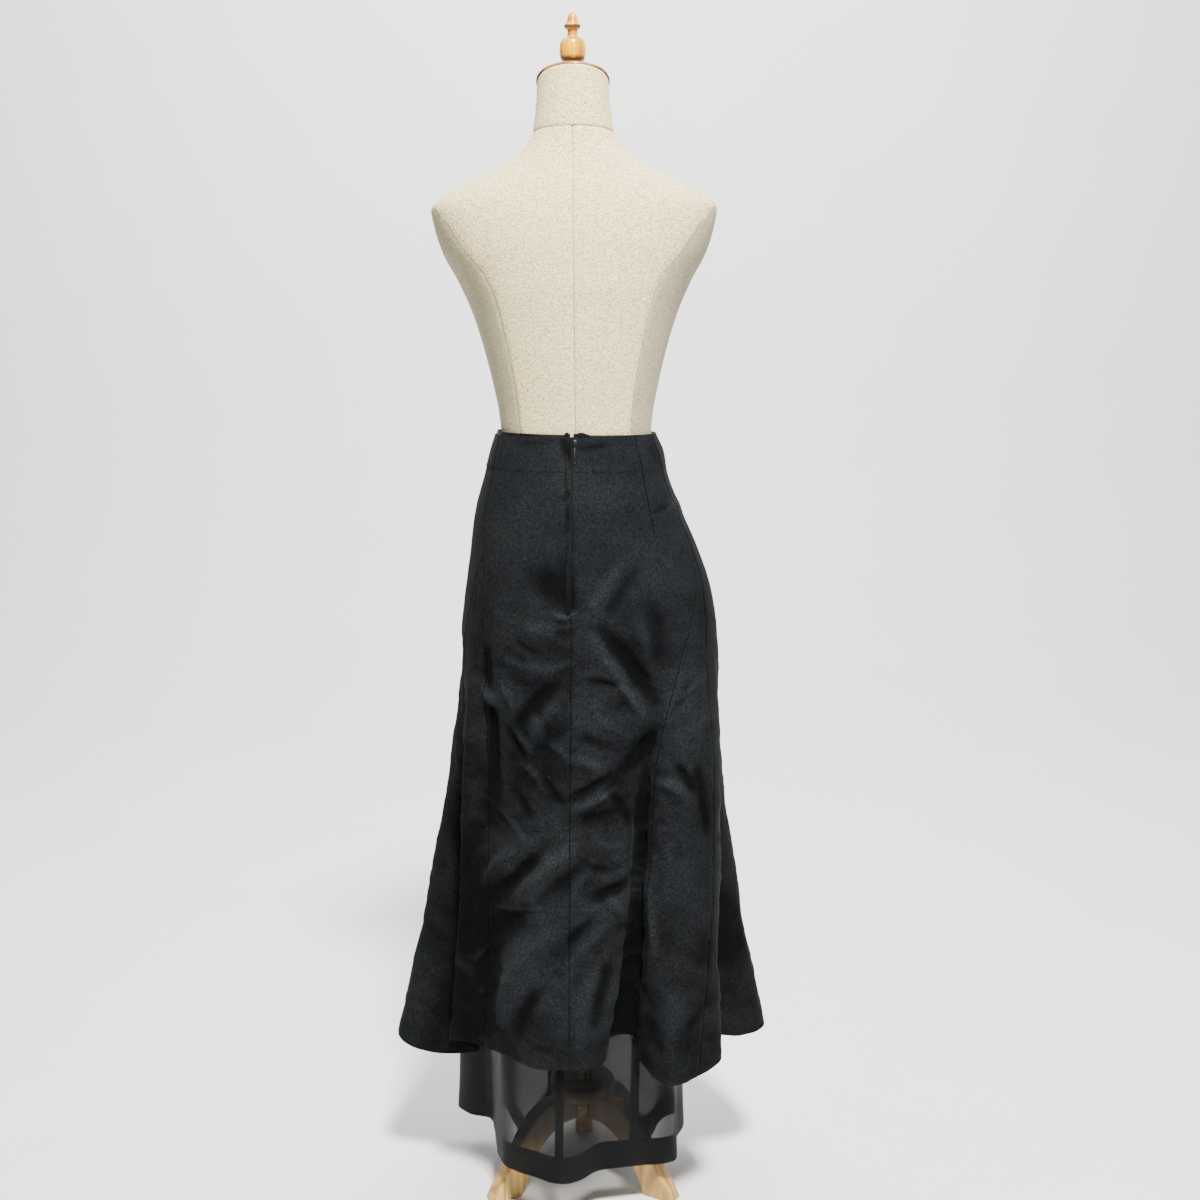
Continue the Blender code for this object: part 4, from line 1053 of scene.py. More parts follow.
def wool_panel(name, across, down):
    t = down_places(1.004 if name.startswith("godet") else 0.0, down)
    lo, hi = panel_ends(name, np.array([1.9]))
    base = wool.spread(float(lo[0]), float(hi[0]), across)
    share = (base - base[0]) / (base[-1] - base[0])
    lo, hi = panel_ends(name, t)
    s = lo[:, None] + (hi - lo)[:, None] * share[None, :]
    tt = np.repeat(t[:, None], len(base), axis=1)
    grid, out = wool.surface(s, tt)
    own = wool_relief(grid)
    lift = own.copy()
    edge = edge_distance(grid)
    height = grid[..., 2]
    hem = wool.point(s, np.full_like(tt, 2.0))[..., 2]
    lift -= SEAM_GROOVE * bell(edge, GROOVE_HALF)
    lift += ALLOWANCE_STEP * bell(edge - 0.006, 0.0045)
    lift += facing_step(grid)
    above = height - hem
    lift += ALLOWANCE_STEP * (1 - ease((above - HEM_TURN + 0.001) / 0.002)) * ease(above / 0.004)
    if name == "back_right":
        dart = nearest(grid[..., 0], height, DART)[0]
        fade = ease((height - DART[-1][1] + 0.004) / 0.02)
        lift -= DART_GROOVE * bell(dart, GROOVE_HALF) * fade
        lift += DART_STEP * bell(dart - 0.004, 0.003) * fade
    outer = grid + out * lift[..., None]
    inner = outer - outward(outer) * WOOL_SHELL
    piece = shell("cloth_" + name, outer, inner, WOOL_MAT, slot="wool")
    # Painted shade and highlight for the colour: hollows darker and ridges lighter, most on the back; lighter
    # higher up, darker in the deep folds and towards the sides, where less light falls
    seen = 0.30 + 0.70 * ease((grid[..., 1] + 0.02) / 0.06)
    shade_paint = np.tanh(own / PAINTED_SHADE_HEIGHT) * seen + 0.22 * ease((height - 0.84) / 0.12) - 0.12
    for middle, wide, deep, high in FOLD_SHADES:
        shade_paint -= deep * bell(s - middle, wide) * ease((high - height) / 0.10)
    shade_paint -= 0.30 * ease((np.abs(grid[..., 0] + 0.02) - 0.11) / 0.05)
    write_attribute(piece, "painted_shading", np.clip(shade_paint, -1.0, 1.0), 0.0)
    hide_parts("wool_" + name)
    return piece, outer


def back_place(x, z):
    """Place round the wool on the back's right half that lies at x and height z."""
    s = np.linspace(0.0, 4.9, 80)
    t = np.array([float(wool.t_at(z, v)) for v in s])
    across = wool.point(s, t)[:, 0]
    s = float(np.interp(-x, -across, s))
    return s, float(wool.t_at(z, s))


def facing_step(points):
    """The wool lies a little higher where the facing is behind it."""
    above = points[..., 2] - FACING_LINE_Z - FACING_SLANT * points[..., 0]
    return FACING_STEP * ease(above / 0.0025) - FACING_STEP / 2


def seam_cord(name, places, depth=0.0010):
    """Dark line of a seam, in the groove between two pieces of the wool."""
    s, t = (np.array(v, float) for v in zip(*places))
    points, out = wool.surface(s, t)
    lift = wool_relief(points[None])[0] + facing_step(points) - depth
    return cord(name, points + out * lift[:, None], THREAD_MAT, SEAM_LINE_R, slot="wool")


def flat_size(grid):
    """Width, length and area that a sheet's grid has when laid flat."""
    a, b, c, d = grid[:-1, :-1], grid[1:, :-1], grid[1:, 1:], grid[:-1, 1:]
    area = sum(np.linalg.norm(np.cross(p - a, q - a), axis=2).sum() / 2 for p, q in ((b, c), (c, d)))
    return lengths(grid, 1).max(), lengths(grid, 0).max(), area


wool_sheets = []
for name, across, down in (
    ("back_right", 0.00185, 0.0031),
    ("back_left", 0.0020, 0.0030),
    ("godet_right", 0.0022, 0.0032),
    ("godet_left", 0.0022, 0.0032),
    ("front", 0.0056, 0.0052),
):
    wool_sheets.append(wool_panel(name, across, down))

steps_up = np.linspace(0.012, 1.0, 110)
steps_low = np.linspace(1.006, 1.996, 220)
for side, middle in (("right", RIGHT_MID), ("left", LEFT_MID)):
    seam_cord("seam_side_" + side, [(middle, t) for t in steps_up])
    back = -1 if side == "right" else 1
    for edge, sign in (("back", back), ("front", -back)):
        path = [(middle + sign * float(godet_ease(t)), t) for t in steps_low]
        seam_cord("seam_godet_" + side + "_" + edge, path)
zip_end = float(wool.t_at(ZIP_END_Z - 0.004, 0.0))
seam_cord("seam_back", [(0.0, t) for t in np.linspace(zip_end, 1.996, 240)])
dart_z = np.linspace(WAIST_Z - 0.001, DART[-1][1], 60)
dart_x = np.interp(-dart_z, [-z for _, z in DART], [x for x, _ in DART])
seam_cord("dart_line", [back_place(x, z) for x, z in zip(dart_x, dart_z)], depth=0.0009)


# Strips along the centre back
def seam_strip(name, left, right, z_top, z_bottom, depth, thick, mat, across=8, spacing=0.003,
               edge=None, round_end=False, **kw):
    """Strip along the centre back seam: left and right in metres from it, + to the wearer's right."""
    points, outs, lifts, rises = [], [], [], []
    for z in np.linspace(z_top, z_bottom, max(3, int((z_top - z_bottom) / spacing))):
        zz = min(z, WAIST_Z)
        low = max(0.0, 1 - (z - z_bottom) / 0.006)
        wide = math.sqrt(max(0.0, 1 - low * low)) * 0.35 + 0.65 if round_end else 1.0
        middle, half = (left + right) / 2, (right - left) / 2 * wide
        for f in np.linspace(0.0, 1.0, across + 1):
            p, q = wool.surface(*wool.beside(0.0, middle + half * (2 * f - 1), zz))
            points.append(p)
            outs.append(q)
            lifts.append((edge(f, z) if edge else 0.0) - depth)
            rises.append(z - zz)
    points = np.array(points).reshape(-1, across + 1, 3)
    outs = np.array(outs).reshape(points.shape)
    lift = np.array(lifts).reshape(points.shape[:2]) + wool_relief(points)
    up = np.array([0.0, 0.0, 1.0]) * np.array(rises).reshape(*points.shape[:2], 1)
    outer = points + outs * lift[..., None] + up
    return shell(name, outer, outer - outs * thick, mat, **kw), outer


def lap_edge(f, z):
    """The lap's free edge gapes a little below the waist and is pressed flat at its stitched edge."""
    gape = 0.0022 * bell(z - 1.072, 0.012) + 0.0014 * bell(z - 1.018, 0.009) + 0.0010 * bell(z - 0.990, 0.006)
    return gape * max(0.0, f - 0.5) * 2 - 0.0017 * bell(f, 0.10)


lap, lap_grid = seam_strip(
    "cloth_lap", -LAP_W - 0.0004, -0.0004, WAIST_Z - 0.0005, ZIP_END_Z - 0.002, -LAP_LIFT, LAP_SHELL, LAP_MAT,
    across=10, edge=lap_edge, slot="wool", round_end=True,
)
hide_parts("placket_lap")
lap_x, lap_z = lap_grid[..., 0], lap_grid[..., 2]
# Painted shade on the lap: darker towards its lower end, by the hollow at the zip's end
lap_painted_shade = 0.12 - 0.9 * ease((0.930 - lap_z) / 0.05)
# Painted shade in the lap's dark pocket and pinches: x, z, half width, half height, lean, how dark
for at_x, at_z, wide, high, slant, dark in (
    (0.0075, 1.073, 0.0036, 0.013, 0.12, 1.1),
    (0.0095, 1.020, 0.0030, 0.006, 0.0, 0.9),
    (0.0100, 0.992, 0.0026, 0.009, 0.0, 0.9),
):
    lap_painted_shade -= dark * bell(lap_x - at_x - slant * (lap_z - at_z), wide) * bell(lap_z - at_z, high)
write_attribute(lap, "painted_shading", lap_painted_shade, 0.0)

# Waist facing
facing_s = wool.spread(0.20, wool.n - 0.20, 0.006)
points, outs, heights = [], [], []
for level in np.linspace(0, 1, 14):
    for s in facing_s:
        top = WAIST_Z + 0.0026 + 0.022 * float(wool.point(s, 0.0)[0])
        z = top + (WAIST_Z - FACING_H - top) * level
        p, q = wool.surface(s, wool.t_at(min(z, WAIST_Z), s))
        points.append(p)
        outs.append(q)
        heights.append(z)
points = np.array(points).reshape(-1, len(facing_s), 3)
outs = np.array(outs).reshape(points.shape)
facing_grid = points + outs * (np.minimum(wool_relief(points), 0.0) * 0.9 - WOOL_T - 0.0006)[..., None]
facing_grid[..., 2] = np.array(heights).reshape(points.shape[:2])
facing_inner = facing_grid - outward(facing_grid) * FACING_SHELL
facing = shell("cloth_facing", facing_grid, facing_inner, LINING_MAT, slot="facing")
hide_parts("waist_facing")

# Zip
for side, a, b in (("right", 0.0021, 0.0066), ("left", -0.0066, -0.0021)):
    tape, _ = seam_strip(
        "tape_" + side, a, b, WAIST_Z + 0.0045, ZIP_END_Z, WOOL_T + 0.0002, 0.0006, TAPE_MAT,
        across=4, spacing=0.006, slot="zip_tape",
    )
    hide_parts("zip_tape_" + side)


def tape_end(name, near, far, rise, peak):
    """End of a zip tape, folded over at the waist: near and far in metres from the centre back."""
    profile = [
        (-0.0030, -0.0060), (-0.0029, 0.0010), (-0.0026, 0.62), (-0.0021, 0.90), (-0.0013, 1.0),
        (-0.0004, 0.94), (0.0001, 0.66), (0.0003, 0.30), (0.0004, 0.02),
    ]
    grid = []
    for out, up in profile:
        row = []
        for f in np.linspace(0.0, 1.0, 10):
            p, q = wool.surface(*wool.beside(0.0, near + (far - near) * f, WAIST_Z))
            corner = 0.72 + 0.28 * math.sin(math.pi * min(1, f + 0.1))
            top = rise * (1.0 - 0.55 * abs(f - peak) ** 1.4) * corner
            p = p + q * (out + 0.0004 * math.sin(7.0 * f + up))
            p[2] += up * top if 0.01 < up else up
            row.append(p)
        grid.append(row)
    grid = np.array(grid)
    return shell(name, grid, grid - outward(grid) * TAPE_SHELL, TAPE_MAT, slot="zip_tape")


tape_end("tape_end_left", -0.0145, -0.0045, 0.0075, 0.75)
tape_end("tape_end_right", 0.0050, 0.0200, 0.0062, 0.25)

CORNERS = list(product((-1, 1), repeat=3))


def box_mesh(verts, faces, centre, axes, sizes):
    """Adds a small chamfered block to the lists; a corner has a point on each face beside it."""
    start = len(verts)
    half = np.array(sizes) / 2
    inset = half - 0.22 * min(sizes)
    for corner in CORNERS:
        for k in range(3):
            p = np.where(np.arange(3) == k, half, inset) * corner
            verts.append(tuple(centre + axes[0] * p[0] + axes[1] * p[1] + axes[2] * p[2]))

    def at(k, signs, face):
        """Point of the corner with these signs along axis k and the two after it, on the given face."""
        corner = [0, 0, 0]
        for step, sign in enumerate(signs):
            corner[(k + step) % 3] = sign
        return start + 3 * CORNERS.index(tuple(corner)) + face

    for k in range(3):
        i, j = (k + 1) % 3, (k + 2) % 3
        for s in (-1, 1):
            ring = [at(k, (s, a, b), k) for a, b in ((-1, -1), (1, -1), (1, 1), (-1, 1))]
            faces.append(tuple(ring[::s]))
        for a, b in product((-1, 1), repeat=2):
            ring = [at(k, (s, a, b), face) for s, face in ((-1, i), (1, i), (1, j), (-1, j))]
            faces.append(tuple(ring[::-a * b]))
    for n, corner in enumerate(CORNERS):
        ring = [start + 3 * n + k for k in range(3)]
        faces.append(tuple(ring[::math.prod(corner)]))


def seam_frame(metres, z, depth):
    """Point and directions (across to the right, down, out) on the cloth beside the centre back."""
    p, q = wool.surface(*wool.beside(0.0, metres, z))
    depth = depth - float(wool_relief(p[None, None])[0, 0])
    down = unit(wool.point(*wool.beside(0.0, metres, z - 0.002)) - p)
    across = unit(np.cross(q, down))
    return p - q * depth, across, unit(np.cross(across, q)), q


TOOTH_STEP = 0.0021
TEETH_LENGTH = 0.208
verts, faces = [], []
for k in range(int(TEETH_LENGTH / TOOTH_STEP)):
    z = WAIST_Z - 0.013 - k * TOOTH_STEP
    side = 1 if k % 2 else -1
    p, across, down, out = seam_frame(side * 0.0004, z, WOOL_T + 0.0009)
    box_mesh(verts, faces, p, (across, down, out), (0.0030, 0.0013, 0.0011))
chain = finish_object("zip_teeth", verts, faces, COIL_MAT, slot="zip_coil")
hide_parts("zip_chain")

verts, faces = [], []
body_p, across, down, out = seam_frame(ZIP_SIDE, WAIST_Z - 0.0075, -0.0011)
# Blocks of the slider: offset across, down and out, then size
for offset, size in (
    ((0, 0, -0.0006), (0.0056, 0.0086, 0.0009)),
    ((0, 0, 0.0009), (0.0048, 0.0080, 0.0010)),
    ((0, -0.0024, 0.0002), (0.0018, 0.0022, 0.0022)),
    ((0, -0.0022, 0.0018), (0.0012, 0.0012, 0.0016)),
    ((0, 0.0024, 0.0018), (0.0012, 0.0012, 0.0016)),
    ((0, 0.0001, 0.0024), (0.0012, 0.0056, 0.0008)),
):
    centre = body_p + across * offset[0] + down * offset[1] + out * offset[2]
    box_mesh(verts, faces, centre, (across, down, out), size)
slider = finish_object("zip_slider_body", verts, faces, METAL_MAT, slot="zip_metal")
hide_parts("zip_slider")


def outline_plate(name, outline, hole, centre, axes, thick, mat, body, slot):
    """Thin plate with rounded edges and a hole, from two outlines with the same count of points."""
    rings = []
    for ring, sign in ((outline, 1), (hole, -1)):
        pts = np.array(ring)
        middle = pts.mean(axis=0)
        away = np.linalg.norm(pts - middle, axis=1, keepdims=True)
        for lift, inset in ((-0.5, 0.00018), (-0.2, 0.0), (0.2, 0.0), (0.5, 0.00018)):
            shrunk = middle + (pts - middle) * (1 - sign * inset / away)
            rings.append([centre + axes[0] * p[0] + axes[1] * p[1] + axes[2] * lift * thick for p in shrunk])
    loop = rings[:4] + rings[4:][::-1]
    verts = [tuple(p) for ring in loop for p in ring]
    faces = tube(0, len(loop), len(outline), closed=True)
    return finish_object(name, verts, faces, mat, body=body, slot=slot)


PULL_TOP_Z = WAIST_Z - 0.0123
PULL_LENGTH = 0.0237
PULL_W = 0.0032
PULL_T = 0.0009
top_p = seam_frame(ZIP_SIDE, PULL_TOP_Z, -0.0016)[0]
end_p = seam_frame(ZIP_SIDE, PULL_TOP_Z - PULL_LENGTH, -0.0016)[0]
pull_down = unit(end_p - top_p)
pull_across = unit(np.cross(np.array([0.0, 1.0, 0.0]), pull_down))
pull_out = unit(np.cross(pull_down, pull_across))
if pull_out[1] < 0:
    pull_out = -pull_out
count = 48
outline, hole = [], []
for k in range(count):
    a = 2 * math.pi * k / count
    c, s = math.cos(a), math.sin(a)
    x = math.copysign(abs(c) ** 0.8, c)
    y = math.copysign(abs(s) ** 0.35, s)
    taper = 1.0 - 0.22 * (y < 0) * abs(y)
    outline.append((x * PULL_W / 2 * taper, y * PULL_LENGTH / 2 * 0.985))
    hole.append((c * 0.0006, 0.0062 + s * 0.0022))
pull = outline_plate(
    "zip_pull_tab", outline, hole, (top_p + end_p) / 2, (pull_across, pull_down, pull_out), PULL_T,
    METAL_MAT, PULL_BODY, "zip_metal",
)
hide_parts("zip_pull")


# Stitches
def stitches(name, path, mat, radius=THREAD_R, sides=6, **kw):
    """Row of short stitches along a path of (point, outward direction) pairs."""
    verts, faces = [], []
    shares = (0.10, 0.18, 0.34, 0.66, 0.82, 0.90)
    for (a, out_a), (b, out_b) in zip(path[:-1], path[1:]):
        out, along = unit(out_a + out_b), unit(b - a)
        side = unit(np.cross(along, out))
        faces += tube(len(verts), len(shares), sides) + caps(len(verts), len(shares), sides)
        for share in shares:
            arch = math.sin(math.pi * (share - 0.1) / 0.8)
            r = radius * (0.35 + 0.65 * math.sqrt(max(arch, 0.0)))
            c = a + (b - a) * share + out * (radius * 1.6 * arch - radius * 0.5)
            for k in range(sides):
                w = 2 * math.pi * k / sides
                verts.append(tuple(c + side * r * math.cos(w) + out * r * math.sin(w)))
    return finish_object(name, verts, faces, mat, **kw)


STITCH_X = -LAP_W + 0.0012
STITCH_END_Z = ZIP_END_Z + 0.010  # where the row of stitches turns across the lap
lap_path = []
lap_down = [(STITCH_X, z) for z in np.arange(WAIST_Z - 0.004, STITCH_END_Z, -STITCH)]
turn = [(STITCH_X + LAP_W * (1 - math.cos(a)), STITCH_END_Z - 0.009 * math.sin(a))
        for a in np.linspace(0.2, math.pi / 2, 5)]
for metres, z in lap_down + turn:
    p, across, down, out = seam_frame(metres, z, -LAP_LIFT)
    f = (metres + LAP_W + 0.0004) / LAP_W
    lap_path.append((p + out * lap_edge(f, z), out))
stitches("lap_stitching", lap_path, THREAD_MAT, slot="wool")

# Underskirt
SHEER_EDGE = (0.0004, 0.0010)


def sheer_relief(grid):
    """Long soft creases of the chiffon, where it hangs free below the form."""
    free = ease((0.70 - grid[..., 2]) / 0.25)
    stretched = grid * np.array([1.0, 1.0, 0.16])
    fine, broad = noise_relief(stretched, 0.016, 41.0), noise_relief(stretched, 0.045, 44.0)
    return (fine * 0.0011 + broad * 0.0022) * free


def sheer_grid(lo, hi, across, t, depth=0.0):
    s = sheer.spread(lo, hi, across, SHEER_EDGE)
    ss = np.repeat(s[None, :], len(t), axis=0)
    tt = np.repeat(t[:, None], len(s), axis=1)
    grid, out = sheer.surface(ss, tt)
    pressed = 0.45 * np.minimum(wool_relief(grid), 0.0) * ease((grid[..., 2] - 0.72) / 0.04)
    return grid + out * (sheer_relief(grid) + pressed - depth)[..., None]


def gathered(grid):
    """How closely the chiffon bunches: most in the soft folds at both sides."""
    x = grid[..., 0]
    return 0.95 * ease((x - 0.086) / 0.034) + 0.45 * ease((-x - 0.098) / 0.030)


sheer_down = np.unique(np.concatenate([np.linspace(0, 1, 185), [0.9994, 0.9986]]))
sheer_sheets = []
for name, first, last in (
    ("back_right", "centre_back", "seam_r"),
    ("front", "seam_r", "seam_l"),
    ("back_left", "seam_l", "centre_back"),
):
    a, b = sheer.place(first), sheer.place(last)
    b = b if b > a else b + sheer.n
    grid = sheer_grid(a, b, 0.0053, sheer_down)
    piece = shell("chiffon_" + name, grid, grid - outward(grid) * SHEER_SHELL, SHEER_MAT, slot="sheer")
    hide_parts("sheer_" + name)
    bunch = gathered(grid)
    write_attribute(piece, "gather", bunch, bunch.mean())
    sheer_sheets.append((piece, grid))

hem_down = 1 - SHEER_HEM_H / (SHEER_TOP_Z - 0.058)
hem_grid = sheer_grid(0.0, sheer.n - 0.01, 0.0045, np.linspace(hem_down, 0.9993, 16), SHEER_SHELL + 0.0004)
hem_inner = hem_grid - outward(hem_grid) * SHEER_SHELL
sheer_hem = shell("chiffon_hem", hem_grid, hem_inner, SHEER_SEAM_MAT, slot="sheer")
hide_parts("sheer_hem")


def sheer_seam(name, place):
    """Pressed seam allowances, as a strip inside the underskirt."""
    grid = []
    for v in np.linspace(0.20, hem_down, 150):
        width = np.linalg.norm(sheer.point(place + 0.03, v) - sheer.point(place - 0.03, v)) / 0.06
        grid.append([sheer.point(place + f * ALLOWANCE_W / width, v) for f in np.linspace(-0.5, 0.5, 7)])
    grid = np.array(grid)
    out = outward(grid)
    grid = grid + out * (sheer_relief(grid) - 0.0007)[..., None]
    return shell(name, grid, grid - out * 0.0005, SHEER_SEAM_MAT, slot="sheer")


for name, line in (("back", "centre_back"), ("right", "seam_r"), ("left", "seam_l")):
    sheer_seam("chiffon_seam_" + name, float(sheer.place(line)))

# Dress form
form_count = 240
edge_z = [FORM_BOTTOM_Z + 0.0006, FORM_BOTTOM_Z + 0.0016, FORM_TOP_Z - 0.0012, FORM_TOP_Z - 0.0004]
form_z = np.unique(np.concatenate([np.linspace(FORM_BOTTOM_Z, FORM_TOP_Z, 130), edge_z]))
places = np.arange(form_count) * 360.0 / form_count


def panel_seam(z):
    return float(np.interp(z, [r[0] for r in PANEL_SEAM], [r[1] for r in PANEL_SEAM]))


def lean(z):
    return LEAN * max(0.0, (z - LEAN_Z) / (FORM_TOP_Z - LEAN_Z))


def from_seam(places, seam):
    """Degrees round the form from a seam, from -180 to 180."""
    return (places - seam + 180.0) % 360.0 - 180.0


def groove(distance, depth=0.0012, half=0.0012):
    return -depth * bell(distance, half)


rings = []
for z in form_z:
    half, back, front = smooth(FORM_ROWS, z)[0]
    edge = panel_seam(z)
    seams = [0.0, 180.0]
    if z < PANEL_TOP_Z:
        seams += [edge, 360.0 - edge]
    local = places.copy()
    for seam in seams:
        near = int(round(seam / 360.0 * form_count)) % form_count
        local[near] = seam
        for k, offset in ((-1, -0.35), (1, 0.35)):
            local[(near + k) % form_count] = seam + offset
    local = np.sort(np.mod(local, 360.0))
    pts = oval(local, half, half, back, front)
    ahead = unit(np.roll(pts, -1, axis=0) - np.roll(pts, 1, axis=0))
    out = np.stack([ahead[:, 1], -ahead[:, 0]], axis=1)
    lift = np.zeros(len(local))
    for seam in seams:
        lift += groove(np.radians(from_seam(local, seam)) * half)
    lift -= 0.0010 * max(0.0, FORM_BOTTOM_Z + 0.0016 - z) / 0.0016
    pts = pts + out * lift[:, None]
    rings.append(np.column_stack([pts, z + lean(z) * pts[:, 1]]))
torso = ring_solid("linen_torso", [ring[::-1] for ring in rings], LINEN_MAT, slot="linen")
torso.data.materials.append(LINEN_SHADED_MAT)
steps = np.linspace(FORM_BOTTOM_Z, FORM_TOP_Z, 200)
sections = smooth(FORM_ROWS, steps)
edges = [abs(oval(np.array([panel_seam(z)]), h, h, b, f)[0, 0]) for z, (h, b, f) in zip(steps, sections)]
middles = np.zeros(len(torso.data.polygons) * 3, np.float32)
torso.data.polygons.foreach_get("center", middles)
x, y, z = middles.reshape(-1, 3).T
back, front = np.interp(z, steps, sections[:, 1]), np.interp(z, steps, sections[:, 2])
middle, deep = (back + front) / 2, (back - front) / 2
# Faces of the side panels take the darker copy of the linen, as painted shade
beyond = (np.abs(x) > np.interp(z, steps, edges)) | (y < middle)
side = (z > FORM_SEAM_LOW_Z) & (z < PANEL_TOP_Z - 0.001) & beyond & (y > middle - deep * 0.45)
torso.data.polygons.foreach_set("material_index", side.astype(np.int32))
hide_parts("form_torso")

neck_rings = []
for share in np.concatenate([[0.0, 0.02], np.linspace(0.06, 1.0, 24)]):
    half = NECK_BASE_R + (NECK_R - NECK_BASE_R) * min(1.0, 1.8 * share - 0.8 * share**2)
    back = NECK_BASE_BACK + (NECK_R - NECK_BASE_BACK) * share
    front = NECK_BASE_FRONT - (NECK_R + NECK_BASE_FRONT) * share
    pts = oval(places, half, half, back, front, 2.25 - 0.25 * share)
    radial = unit(pts)
    lift = np.full(len(places), 0.0004 - 0.0012 * bell(share, 0.02))
    for seam in (0.0, 180.0):
        lift += groove(np.radians(from_seam(places, seam)) * half, 0.0006)
    pts = pts + radial * lift[:, None]
    low = FORM_TOP_Z + GAP + LEAN * pts[:, 1]
    high = NECK_TOP_Z + math.tan(NECK_TILT) * pts[:, 1]
    neck_rings.append(np.column_stack([pts, low + (high - low) * share])[::-1])
neck = ring_solid("linen_neck", neck_rings, LINEN_MAT, slot="linen")
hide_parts("form_neck")


def form_point(place, z, depth):
    half, back, front = smooth(FORM_ROWS, z)[0]
    x, y = oval(np.array([place]), half - depth, half - depth, back - depth, front + depth)[0]
    return (x, y, z + lean(z) * y)


def form_seam(name, top, depth, place):
    """Dark line of a seam down the form; place gives its degrees at a height."""
    path = [form_point(place(z) % 360.0, z, depth) for z in np.linspace(FORM_SEAM_LOW_Z, top, 160)]
    cord("form_seam_" + name, path, SEAM_MAT, FORM_SEAM_R, slot="linen")


form_seam("back", FORM_TOP_Z - 0.0005, 0.0011, lambda z: 0.0)
form_seam("front", FORM_TOP_Z - 0.0005, 0.0011, lambda z: 180.0)
form_seam("right", PANEL_TOP_Z - 0.002, 0.0010, panel_seam)
form_seam("left", PANEL_TOP_Z - 0.002, 0.0010, lambda z: -panel_seam(z))
ring = oval(places, NECK_BASE_R, NECK_BASE_R, NECK_BASE_BACK, NECK_BASE_FRONT)
base = np.column_stack([ring * (1 - 0.0006 / 0.053), FORM_TOP_Z + LEAN * ring[:, 1]])
cord("form_seam_neck", base, SEAM_MAT, 0.0005, closed=True, slot="linen")


def tilted(points):
    c, s = math.cos(NECK_TILT), math.sin(NECK_TILT)
    x, y, z = points[:, 0], points[:, 1], points[:, 2]
    return np.stack([x, y * c - z * s, NECK_TOP_Z + y * s + z * c], axis=1)


cap_profile = [
    (GAP, CAP_R - 0.0016), (GAP + 0.0004, CAP_R - 0.0006), (GAP + 0.0014, CAP_R),
    (GAP + CAP_T - 0.0030, CAP_R), (GAP + CAP_T - 0.0014, CAP_R - 0.0007),
    (GAP + CAP_T - 0.0004, CAP_R - 0.0022), (GAP + CAP_T, CAP_R - 0.0040),
]
cap = lathe("wooden_cap", cap_profile, CAP_MAT, place=tilted, slot="dark_wood")
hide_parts("neck_cap")
cap_line = tilted(circle(CAP_R - 0.0005, GAP + 0.0004, 120))
cord("cap_line", cap_line, CAP_LINE_MAT, 0.0008, closed=True, slot="dark_wood")
finial_z = np.linspace(0, FINIAL_ROWS[-1][0], 90)
finial_rows = [(z, r) for z, (r,) in zip(finial_z, smooth(FINIAL_ROWS, finial_z))] + [FINIAL_TIP]


def on_cap(points):
    """Moves the finial's points onto the cap; its foot follows the cap's slope."""
    out = points + np.array([0.0, 0.0, FINIAL_FOOT_Z])
    foot = points[:, 2] < 1e-6
    out[foot, 2] = FINIAL_FOOT_Z + math.tan(NECK_TILT) * out[foot, 1]
    return out


finial = lathe("turned_finial", finial_rows, HONEY_MAT, place=on_cap, slot="dark_wood")
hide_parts("neck_finial")

# Stand
pole = lathe("wooden_pole", [
    (HUB_TOP_Z + GAP, POLE_R - 0.0005), (HUB_TOP_Z + GAP + 0.0008, POLE_R),
    *[(z, POLE_R) for z in np.linspace(0.16, 0.72, 12)],
    (FORM_BOTTOM_Z - GAP, POLE_R),
], POLE_MAT, slot="wood")
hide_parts("stand_pole")
hub = lathe("hub_disc", [
    (HUB_BOTTOM_Z, HUB_R - 0.0045), (HUB_BOTTOM_Z + 0.0006, HUB_R - 0.0022),
    (HUB_BOTTOM_Z + 0.0022, HUB_R - 0.0004), (HUB_BOTTOM_Z + 0.0040, HUB_R),
    (HUB_TOP_Z - 0.0060, HUB_R), (HUB_TOP_Z - 0.0030, HUB_R - 0.0006),
    (HUB_TOP_Z - 0.0010, HUB_R - 0.0024), (HUB_TOP_Z, HUB_R - 0.0060),
], HUB_MAT, slot="dark_wood")
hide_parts("stand_hub")
EDGE_R = 0.0035  # of the legs' rounded edges
leg_curve = smooth([(i,) + row for i, row in enumerate(LEG_ROWS)], np.linspace(0, len(LEG_ROWS) - 1, 44))
for name, place in LEG_PLACES.items():
    a = math.radians(place)
    out_dir = np.array([-math.sin(a), math.cos(a), 0.0])
    side_dir = np.array([math.cos(a), math.sin(a), 0.0])
    loops = []
    for r_out, z_out, r_in, z_in in leg_curve:
        top = out_dir * r_out + np.array([0, 0, z_out])
        low = out_dir * r_in + np.array([0, 0, z_in])
        along = unit(top - low)
        ring = []
        for base, end, order in ((top, -1, (-1, 1)), (low, 1, (1, -1))):
            for side in order:
                centre = base + side_dir * side * (LEG_T / 2 - EDGE_R) + along * end * EDGE_R
                beside, beyond = side_dir * side * EDGE_R, along * end * EDGE_R
                turns = np.linspace(0, math.pi / 2, 5)
                arc = [centre + beside * math.cos(w) - beyond * math.sin(w) for w in turns]
                ring += arc if side == order[0] else arc[::-1]
        loops.append(ring)
    loops = np.array(loops)
    loops[-1, :, 2] = 0.0
    leg = ring_solid("wooden_" + name, loops, LEG_MAT, slot="wood")
    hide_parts("stand_" + name)

# What each sheet was cut to
seam_sheets = [(lap, lap_grid), (facing, facing_grid), (sheer_hem, hem_grid)]
for piece, grid in wool_sheets + sheer_sheets + seam_sheets:
    wide, long, area = (float(v) for v in flat_size(grid))

